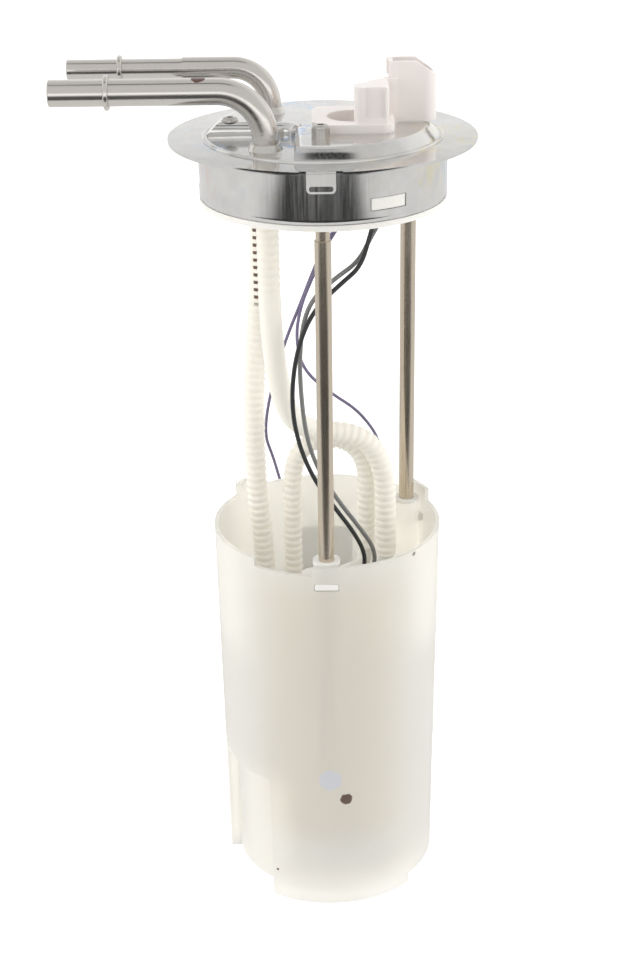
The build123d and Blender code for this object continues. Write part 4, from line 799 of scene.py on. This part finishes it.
# ---- flexible lines -----------------------------------------------------------------------
@dataclass
class Centreline:
    """Smooth centreline through a hose's or wire's route."""

    name: str
    route: tuple[Point, ...]
    fineness: int = 24
    least_steps: int = 8

    def points(self) -> np.ndarray:
        """Reads the points of the route's spline.

        Returns:
            The points, in metres.
        """
        curve = bpy.data.curves.new(self.name + "_line", "CURVE")
        curve.dimensions = "3D"
        spline = curve.splines.new("NURBS")
        spline.points.add(len(self.route) - 1)
        for control, spot in zip(spline.points, self.route):
            control.co = (*spot, 1.0)
        spline.order_u = 3
        spline.use_endpoint_u = True
        spline.resolution_u = self.fineness
        holder = bpy.data.objects.new(self.name + "_line", curve)
        mesh = bpy.data.meshes.new_from_object(holder)
        found = np.array([vertex.co for vertex in mesh.vertices])
        bpy.data.objects.remove(holder)
        bpy.data.meshes.remove(mesh)
        bpy.data.curves.remove(curve)
        return found

    def evenly(self, step: float) -> tuple[np.ndarray, np.ndarray]:
        """Points an even step apart.

        Args:
            step: Wanted distance between points.

        Returns:
            The points and each one's distance from the start.
        """
        found = self.points()
        gaps = np.linalg.norm(np.diff(found, axis=0), axis=1)
        along = np.concatenate([[0.0], np.cumsum(gaps)])
        count = max(self.least_steps, round(along[-1] / step))
        spots = np.linspace(0.0, along[-1], count + 1)
        even = np.stack([np.interp(spots, along, found[:, axis]) for axis in range(3)], axis=1)
        return even, spots


@dataclass
class FlexibleTube:
    """Round tube or wire along a centreline, its radius changing along it."""

    name: str
    route: tuple[Point, ...]
    radius: float
    sides: int = 24
    step: float = 0.8 * MM

    def radii(self, along: np.ndarray) -> np.ndarray:
        """Radius at each distance from the start."""
        return np.full(len(along), self.radius)

    def extras(self, points: np.ndarray, along: np.ndarray) -> dict[str, np.ndarray]:
        """Named values at each point, kept on the mesh for its finish."""
        return {}

    def rings(self, points: np.ndarray, along: np.ndarray) -> list[np.ndarray]:
        """Rings of vertices square to the centreline, carried along it without a twist.

        Args:
            points: Points of the centreline.
            along: Each one's distance from the start.

        Returns:
            The vertices of each ring.
        """
        ways = np.gradient(points, axis=0)
        ways /= np.linalg.norm(ways, axis=1)[:, None]
        side = np.cross(ways[0], (0.0, 1.0, 0.0))
        turns = np.linspace(0.0, 2 * math.pi, self.sides, endpoint=False)[:, None]
        found = []
        for spot, way, radius in zip(points, ways, self.radii(along)):
            side = side - way * side.dot(way)
            side /= np.linalg.norm(side)
            found.append(spot + radius * (np.cos(turns) * side + np.sin(turns) * np.cross(way, side)))
        return found

    def faces(self, last: int) -> list[tuple[int, ...]]:
        """Faces between the rings and from each end ring to its pole.

        Args:
            last: Number of the last ring, counted from 0.

        Returns:
            The numbers of each face's vertices.
        """
        start_pole = (last + 1) * self.sides
        pairs = [(k, (k + 1) % self.sides) for k in range(self.sides)]
        found = []
        for low in range(0, last * self.sides, self.sides):
            high = low + self.sides
            found += [(low + k, low + nxt, high + nxt, high + k) for k, nxt in pairs]
        for k, nxt in pairs:
            found.append((start_pole, nxt, k))
            found.append((start_pole + 1, last * self.sides + k, last * self.sides + nxt))
        return found

    def build(self) -> tuple[bpy.types.Object, np.ndarray, float]:
        """Builds the mesh.

        Returns:
            The object, the points of its centreline and its length.
        """
        points, along = Centreline(self.name, self.route).evenly(self.step)
        verts = np.concatenate([*self.rings(points, along), points[:1], points[-1:]])
        mesh = bpy.data.meshes.new(self.name)
        mesh.from_pydata(verts.tolist(), [], self.faces(len(points) - 1))
        for label, values in self.extras(points, along).items():
            layer = mesh.attributes.new(label, "FLOAT", "POINT")
            spread = np.concatenate([np.repeat(values, self.sides), values[:1], values[-1:]])
            layer.data.foreach_set("value", spread.astype(np.float32))
        mesh.shade_smooth()
        piece = bpy.data.objects.new(self.name, mesh)
        bpy.context.scene.collection.objects.link(piece)
        return piece, points, float(along[-1])


@dataclass
class RidgedHose(FlexibleTube):
    """Corrugated nylon hose with plain stretches."""

    pitch: float = 3.9 * MM
    tooth: float = 0.65 * MM
    crest_gain: float = 1.7
    crest_drop: float = 0.25
    plain: tuple[Span, ...] = ()
    plain_fade: float = 3 * MM
    plain_share: float = 0.25
    # Height above which the painted steel shade shows, where the steel tube lies inside the hose.
    steel_to_z: float = 0.0
    steel_fade: float = 6 * MM
    sides: int = 32
    step: float = 0.42 * MM

    def ridge(self, along: np.ndarray) -> np.ndarray:
        """Height of the corrugation.

        Args:
            along: Distances from the start.

        Returns:
            1 on a ridge and 0 at the bottom of a furrow, at each distance.
        """
        phase = (along / self.pitch) % 1.0
        wave = 0.5 - 0.5 * np.cos(2 * math.pi * phase)
        crest = np.clip(wave * self.crest_gain - self.crest_drop, 0.0, 1.0)
        return crest * crest * (3 - 2 * crest)

    def plainness(self, along: np.ndarray) -> np.ndarray:
        """How plain the hose is.

        Args:
            along: Distances from the start.

        Returns:
            1 in the plain stretches and 0 where the hose is corrugated, at each distance.
        """
        total = np.zeros(len(along))
        for start, end in self.plain:
            after_start = np.clip((along - start) / self.plain_fade + 0.5, 0, 1)
            before_end = np.clip((end - along) / self.plain_fade + 0.5, 0, 1)
            total = np.maximum(total, after_start * before_end)
        return total

    def radii(self, along: np.ndarray) -> np.ndarray:
        """Radius of the hose.

        Args:
            along: Distances from the start.

        Returns:
            The radius with its ridges at each distance, a little smaller in the plain stretches.
        """
        flat = self.plainness(along)
        ridged = self.radius - self.tooth * (1 - self.ridge(along))
        return ridged * (1 - flat) + (self.radius - self.plain_share * self.tooth) * flat

    def extras(self, points: np.ndarray, along: np.ndarray) -> dict[str, np.ndarray]:
        """Values for the hose's finish.

        Args:
            points: Points of the centreline.
            along: Each one's distance from the start.

        Returns:
            How deep each point lies in a furrow, which sets the painted furrow shade, and how much steel lies
            inside, which sets the painted steel shade.
        """
        valley_shade = (1 - self.ridge(along)) * (1 - self.plainness(along))
        steel = np.zeros(len(along))
        if self.steel_to_z:
            steel = np.clip((points[:, 2] - self.steel_to_z) / self.steel_fade, 0, 1)
        return {"valley_shade": valley_shade, "painted_steel_shade": steel}


@dataclass
class LineSet:
    """Hoses or wires that take the place of plain solids."""

    shop: Shop

    def fit(self, tube: FlexibleTube, node: str, finish: str, ends: Span | None,
            stiffness: Stiffness, stride: int) -> None:
        """Builds one hose or wire and hides its plain solid.

        Args:
            tube: The hose or wire.
            node: The solid that it stands for.
            finish: Name of its finish.
            ends: Heights where it would pass from the cover's motion to the reservoir's, or None where it
                rides on the reservoir; only whether they are given is read, and with them the piece is left
                unattached.
            stiffness: How stiff it is. Not used.
            stride: How many points of the centreline each step of its path takes. Not used.
        """
        piece, line, length = tube.build()
        piece.data.materials.append(self.shop.made[finish])
        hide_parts(node)
        if ends:
            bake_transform(piece)
        else:
            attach(piece, Body.RESERVOIR.value)
        LOG.info("%s: %.1f mm", piece.name, length / MM)


@dataclass
class HoseSet(LineSet):
    """The three hoses between the cover's pipes and the fittings of the reservoir."""

    line_radius: float = 5.6 * MM
    jet_radius: float = 5.0 * MM
    feed_tooth: float = 0.4 * MM
    jet_tooth: float = 0.6 * MM
    feed_plain: Span = (41 * MM, 128 * MM)
    return_steel_to_z: float = -93 * MM
    ends: Span = (-34 * MM, -200 * MM)

    def build(self) -> None:
        """Builds each hose; the two line hoses are left unattached and the jet hose rides on the reservoir.
        """
        feed = RidgedHose(
            "feed_hose_ridged", FEED_HOSE_ROUTE, self.line_radius, tooth=self.feed_tooth,
            plain=(self.feed_plain,),
        )
        back = RidgedHose(
            "return_hose_ridged", RETURN_HOSE_ROUTE, self.line_radius, steel_to_z=self.return_steel_to_z
        )
        jet = RidgedHose("jet_hose_ridged", JET_HOSE_ROUTE, self.jet_radius, tooth=self.jet_tooth)
        plan = ((feed, "feed_hose", self.ends), (back, "return_hose", self.ends), (jet, "jet_hose", None))
        for hose, node, ends in plan:
            self.fit(hose, node, "hose_nylon", ends, Stiffness.STIFF, stride=4)


@dataclass
class WireSet(LineSet):
    """The four wires from the inner plug to the pump and the level sensor."""

    power_radius: float = 1.15 * MM
    sender_radius: float = 0.85 * MM
    sides: int = 14
    step: float = 1.0 * MM
    power_ends: Span = (-16 * MM, -225 * MM)
    sender_ends: Span = (-16 * MM, -215 * MM)

    def build(self) -> None:
        """Builds each wire; all are left unattached."""
        plan = (
            ("black_wire", BLACK_WIRE_ROUTE, self.power_radius, "black_jacket", self.power_ends),
            ("grey_wire", GREY_WIRE_ROUTE, self.power_radius, "grey_jacket", self.power_ends),
            ("sender_wire", SENDER_WIRE_ROUTE, self.sender_radius, "purple_jacket", self.sender_ends),
            ("sender_ground_wire", GROUND_WIRE_ROUTE, self.sender_radius, "purple_jacket", self.sender_ends),
        )
        for node, route, radius, jacket, ends in plan:
            wire = FlexibleTube(node + "_jacket", route, radius, sides=self.sides, step=self.step)
            self.fit(wire, node, jacket, ends, Stiffness.LIMP, stride=2)


@dataclass
class SpringPair:
    """Coil springs in the guide wells, which shorten as the reservoir rises on its rods; here they are wound
    once, at the length of their plain solids.
    """

    shop: Shop
    coil_radius: float = 3.9 * MM
    wire_radius: float = 0.5 * MM
    wire_sides: int = 8
    turns: int = 14
    turn_steps: int = 20
    keep: float = 0.392
    merge_distance: float = 0.001 * MM

    def coil(self, name: str, foot: Vector, pitch: float) -> bpy.types.Object:
        """Winds one coil: a ring of wire beside the axis, screwed upwards and closed at both ends.

        Args:
            name: Name of the piece.
            foot: Middle of the coil at the height of its first turn.
            pitch: Rise of one turn.

        Returns:
            The coil.
        """
        bpy.ops.object.select_all(action="DESELECT")
        bpy.ops.mesh.primitive_circle_add(
            vertices=self.wire_sides, radius=self.wire_radius, location=foot, rotation=(math.pi / 2, 0.0, 0.0)
        )
        piece = bpy.context.object
        piece.name = piece.data.name = name
        bpy.ops.object.transform_apply(location=False, rotation=True, scale=True)
        bpy.ops.object.mode_set(mode="EDIT")
        bpy.ops.mesh.select_all(action="SELECT")
        bpy.ops.transform.translate(value=(self.coil_radius, 0.0, 0.0))
        bpy.ops.object.mode_set(mode="OBJECT")
        screw = piece.modifiers.new("winding", "SCREW")
        screw.screw_offset, screw.iterations = pitch, self.turns
        screw.steps = screw.render_steps = self.turn_steps
        bpy.ops.object.modifier_apply(modifier=screw.name)
        bpy.ops.object.mode_set(mode="EDIT")
        bpy.ops.mesh.select_all(action="SELECT")
        bpy.ops.mesh.remove_doubles(threshold=self.merge_distance)
        bpy.ops.mesh.select_all(action="SELECT")
        bpy.ops.mesh.fill_holes(sides=0)
        bpy.ops.mesh.select_all(action="SELECT")
        bpy.ops.mesh.normals_make_consistent(inside=False)
        bpy.ops.object.mode_set(mode="OBJECT")
        bpy.ops.object.transform_apply(location=True, rotation=True, scale=True)
        bpy.ops.object.shade_smooth()
        return piece

    def build(self) -> None:
        """Builds both springs where their plain solids are."""
        for node in ("guide_spring_front", "guide_spring_rear"):
            low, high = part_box(node)
            middle = (low + high) / 2
            pitch = (high.z - low.z - 2 * self.wire_radius) / self.turns
            piece = self.coil(node + "_coil", Vector((middle.x, middle.y, low.z + self.wire_radius)), pitch)
            length = self.turns * math.hypot(2 * math.pi * self.coil_radius, pitch)
            piece.data.materials.append(self.shop.made["spring_steel"])
            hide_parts(node)
            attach(piece, Body.RESERVOIR.value)
            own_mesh(piece)
            LOG.info("%s: %d turns, %.0f mm of wire", piece.name, self.turns, length / MM)


# ---- studio -------------------------------------------------------------------------------
def add_object(name: str, data: bpy.types.ID) -> bpy.types.Object:
    """Puts a new object with this data in the scene."""
    found = bpy.data.objects.new(name, data)
    bpy.context.scene.collection.objects.link(found)
    return found


@dataclass
class Camera:
    """Camera ahead of the object and above its flange, looking slightly down."""

    focal_px: float = 1850.0
    long_side_px: float = 964.0
    sensor_width: float = 36.0
    clip: Span = (0.05, 50.0)
    distance: float = 0.969
    elevation: float = 23.75
    roll: float = -0.75
    aim: Point = (-0.00345, 0.0, -0.1824)

    def build(self) -> None:
        """Places the camera."""
        data = bpy.data.cameras.new("camera")
        data.sensor_width = self.sensor_width
        data.lens = self.focal_px / self.long_side_px * self.sensor_width
        data.clip_start, data.clip_end = self.clip
        camera = add_object("camera", data)
        tilt = math.radians(self.elevation)
        back = Vector((0.0, -math.cos(tilt), math.sin(tilt)))
        right = Vector((1.0, 0.0, 0.0))
        up = back.cross(right)
        turned = Matrix((right, up, back)).transposed() @ Matrix.Rotation(math.radians(self.roll), 3, "Z")
        camera.matrix_world = Matrix.Translation(Vector(self.aim) + back * self.distance) @ turned.to_4x4()
        bpy.context.scene.camera = camera


@dataclass
class Surroundings:
    """White tent round the object.

    Directions run from -1 to 1 along each axis, and front is the way to the camera. A fade is the two
    directions that it goes between, and then its two levels where these aren't 0 and 1. What the metal
    mirrors is greyer than the tent, brighter at the back, with a dark band, a bright strip and a dark gap.
    """

    lit_front: tuple[float, ...] = (0.35, 0.95, 1.0, 0.72)
    lit_top: tuple[float, ...] = (0.3, 1.0, 1.0, 0.75)
    tent_level: float = 0.74
    back_level: float = 1.07
    back_front: Span = (0.3, -0.5)
    back_top: Span = (0.9, 0.4)
    band_level: float = 0.3
    band_foot: Span = (0.23, 0.256)
    band_head: Span = (0.34, 0.29)
    band_front: Span = (-0.5, -0.8)
    zenith_level: float = 0.68
    zenith_top: Span = (0.8, 0.97)
    strip_level: float = 0.75
    strip_height: float = 0.03
    strip_edge: Span = (0.14, 0.10)
    strip_front: Span = (0.3, 0.6)
    gap_level: float = 0.03
    gap_foot: Span = (0.0, 0.3)
    gap_sides: tuple[tuple[str, float, float, float], ...] = (
        ("X", 0.06, 0.25, 0.12), ("Y", -0.125, 0.08, 0.05),
    )

    def lit(self, graph: Graph, front: Socket, height: Socket) -> Socket:
        """Level of the light that falls on surfaces: a little less from ahead and from above."""
        return graph.times(graph.ramp(front, *self.lit_front), graph.ramp(height, *self.lit_top))

    def mirrored(self, graph: Graph, parts: bpy.types.NodeOutputs, front: Socket) -> Socket:
        """Level of what the metal mirrors.

        Args:
            graph: The world's graph.
            parts: X, Y and Z of the direction.
            front: How far the direction points to the front.

        Returns:
            The level in each direction.
        """
        height = parts["Z"]
        back = graph.times(graph.ramp(front, *self.back_front), graph.ramp(height, *self.back_top))
        level = graph.math("ADD", graph.times(back, self.back_level - self.tent_level), self.tent_level)
        band = graph.times(
            graph.ramp(height, *self.band_foot), graph.ramp(height, *self.band_head),
            graph.ramp(front, *self.band_front),
        )
        level = graph.times(level, graph.ramp(band, 0.0, 1.0, 1.0, self.band_level))
        zenith = graph.ramp(height, *self.zenith_top, 0.0, self.zenith_level - self.tent_level)
        strip = graph.times(
            graph.ramp(graph.apart(height, self.strip_height), *self.strip_edge),
            graph.ramp(front, *self.strip_front), self.strip_level,
        )
        level = graph.math("ADD", graph.math("ADD", level, zenith), strip)
        gap = graph.ramp(height, *self.gap_foot)
        for axis, middle, half, soft in self.gap_sides:
            gap = graph.times(gap, graph.ramp(graph.apart(parts[axis], middle), half + soft, half - soft))
        return graph.times(level, graph.ramp(gap, 0.0, 1.0, 1.0, self.gap_level))

    def build(self) -> None:
        """Builds the world, which the camera itself sees as plain white."""
        world = bpy.data.worlds.new("light_tent")
        bpy.context.scene.world = world
        world.use_nodes = True
        graph = Graph(world.node_tree)
        parts = graph.split(graph.add("TexCoord").outputs["Generated"])
        front = graph.times(parts["Y"], -1.0)
        path = graph.add("LightPath").outputs
        glossy = path["Is Glossy Ray"]
        lit = graph.times(self.lit(graph, front, parts["Z"]), graph.ramp(glossy, 0.0, 1.0, 1.0, 0.0))
        level = graph.math("ADD", lit, graph.times(self.mirrored(graph, parts, front), glossy))
        level = graph.math("MAXIMUM", level, path["Is Camera Ray"])
        graph.fill(world.node_tree.nodes["Background"], {"Color": WHITE, "Strength": level})


@dataclass
class Floor:
    """Pale floor, open from below, and ahead of it a dark cloth that only the metal mirrors."""

    height: float = -0.4085
    size: float = 6.0
    middle_y: float = 2.0
    tone: tuple[float, ...] = (0.93, 0.93, 0.93, 1.0)
    roughness: float = 0.9
    glow: float = 0.5
    level: float = 0.83
    cloth_x: float = -0.10
    cloth_y: Span = (-1.78, -0.42)
    cloth_width: float = 2.30
    cloth_lift: float = 1 * MM
    cloth_level: float = 0.045
    cloth_fade: Span = (0.34, 0.5)

    def build(self) -> None:
        """Lays the floor and the cloth."""
        bpy.ops.object.select_all(action="DESELECT")
        bpy.ops.mesh.primitive_plane_add(size=self.size, location=(0.0, self.middle_y, self.height))
        floor = bpy.context.object
        floor.name = "floor"
        floor.data.materials.append(self.floor_white())
        far, near = self.cloth_y
        lifted = (self.cloth_x, (near + far) / 2, self.height + self.cloth_lift)
        bpy.ops.mesh.primitive_plane_add(size=1.0, location=lifted)
        cloth = bpy.context.object
        cloth.name = "dark_cloth"
        cloth.scale = (self.cloth_width, near - far, 1.0)
        cloth.data.materials.append(self.cloth_black())
        cloth.visible_camera = False
        cloth.visible_diffuse = False
        cloth.visible_transmission = False

    def floor_white(self) -> bpy.types.Material:
        """Builds the floor's material.

        Returns:
            The material: pale, at an even level where the metal mirrors it, and clear from below.
        """
        material = bpy.data.materials.new("floor_white")
        material.use_nodes = True
        graph = Graph(material.node_tree)
        path = graph.add("LightPath").outputs
        seen = graph.math("MAXIMUM", path["Is Camera Ray"], path["Is Transmission Ray"])
        pale = graph.fill(material.node_tree.nodes["Principled BSDF"], {
            "Base Color": self.tone, "Roughness": self.roughness,
            "Emission Color": WHITE, "Emission Strength": graph.times(seen, self.glow),
        })
        even = graph.add("Emission", {"Color": WHITE, "Strength": self.level})
        top = graph.add("MixShader", {
            0: path["Is Glossy Ray"], 1: pale.outputs["BSDF"], 2: even.outputs["Emission"],
        })
        below = graph.times(graph.add("NewGeometry").outputs["Backfacing"], path["Is Camera Ray"])
        whole = graph.add("MixShader", {
            0: below, 1: top.outputs["Shader"], 2: graph.add("BsdfTransparent").outputs["BSDF"],
        })
        graph.fill(material.node_tree.nodes["Material Output"], {"Surface": whole.outputs["Shader"]})
        return material

    def cloth_black(self) -> bpy.types.Material:
        """Builds the cloth's material.

        Returns:
            The material: dark in the middle and as pale as the floor at both sides.
        """
        material = bpy.data.materials.new("cloth_black")
        material.use_nodes = True
        graph = Graph(material.node_tree)
        across = graph.math("ABSOLUTE", graph.split(graph.place())["X"])
        faded = graph.ramp(across, *self.cloth_fade, self.cloth_level, self.level)
        glow = graph.add("Emission", {"Strength": faded})
        graph.fill(material.node_tree.nodes["Material Output"], {"Surface": glow.outputs["Emission"]})
        return material


@dataclass(frozen=True)
class Lamp:
    """Soft rectangular lamp that the metal doesn't mirror."""

    name: str
    place: Point
    aim: Point
    size: Span
    power: float

    def build(self) -> None:
        """Hangs the lamp."""
        data = bpy.data.lights.new(self.name, "AREA")
        data.shape = "RECTANGLE"
        data.size, data.size_y = self.size
        data.energy = self.power
        lamp = add_object(self.name, data)
        lamp.location = self.place
        lamp.rotation_mode = "QUATERNION"
        lamp.visible_glossy = False
        lamp.rotation_quaternion = (Vector(self.aim) - Vector(self.place)).to_track_quat("-Z", "Y")


@dataclass
class Studio:
    """Everything round the object."""

    camera: Camera = field(default_factory=Camera)
    surroundings: Surroundings = field(default_factory=Surroundings)
    floor: Floor = field(default_factory=Floor)
    lamps: tuple[Lamp, ...] = (
        Lamp("left_box", (-1.3, -0.35, 0.25), (0.0, 0.0, -0.2), (1.1, 1.5), 8.6),
        Lamp("right_box", (1.3, -0.3, 0.25), (0.0, 0.0, -0.2), (1.1, 1.5), 8.6),
        Lamp("top_box", (-0.2, 0.1, 1.5), (0.0, 0.0, 0.0), (1.2, 1.2), 3.0),
    )

    def build(self) -> None:
        """Builds the camera, surroundings, floor and lamps."""
        for item in (self.camera, self.surroundings, self.floor, *self.lamps):
            item.build()
        bpy.context.scene.view_settings.view_transform = "Standard"


def main() -> None:
    """Builds the whole scene in order."""
    logging.basicConfig(level=logging.INFO, format="%(name)s: %(message)s")
    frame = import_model()
    shop = Shop(Effects())
    Studio().build()
    dress(frame, shop)
    HoseSet(shop).build()
    WireSet(shop).build()
    SpringPair(shop).build()


if __name__ == "__main__":
    main()
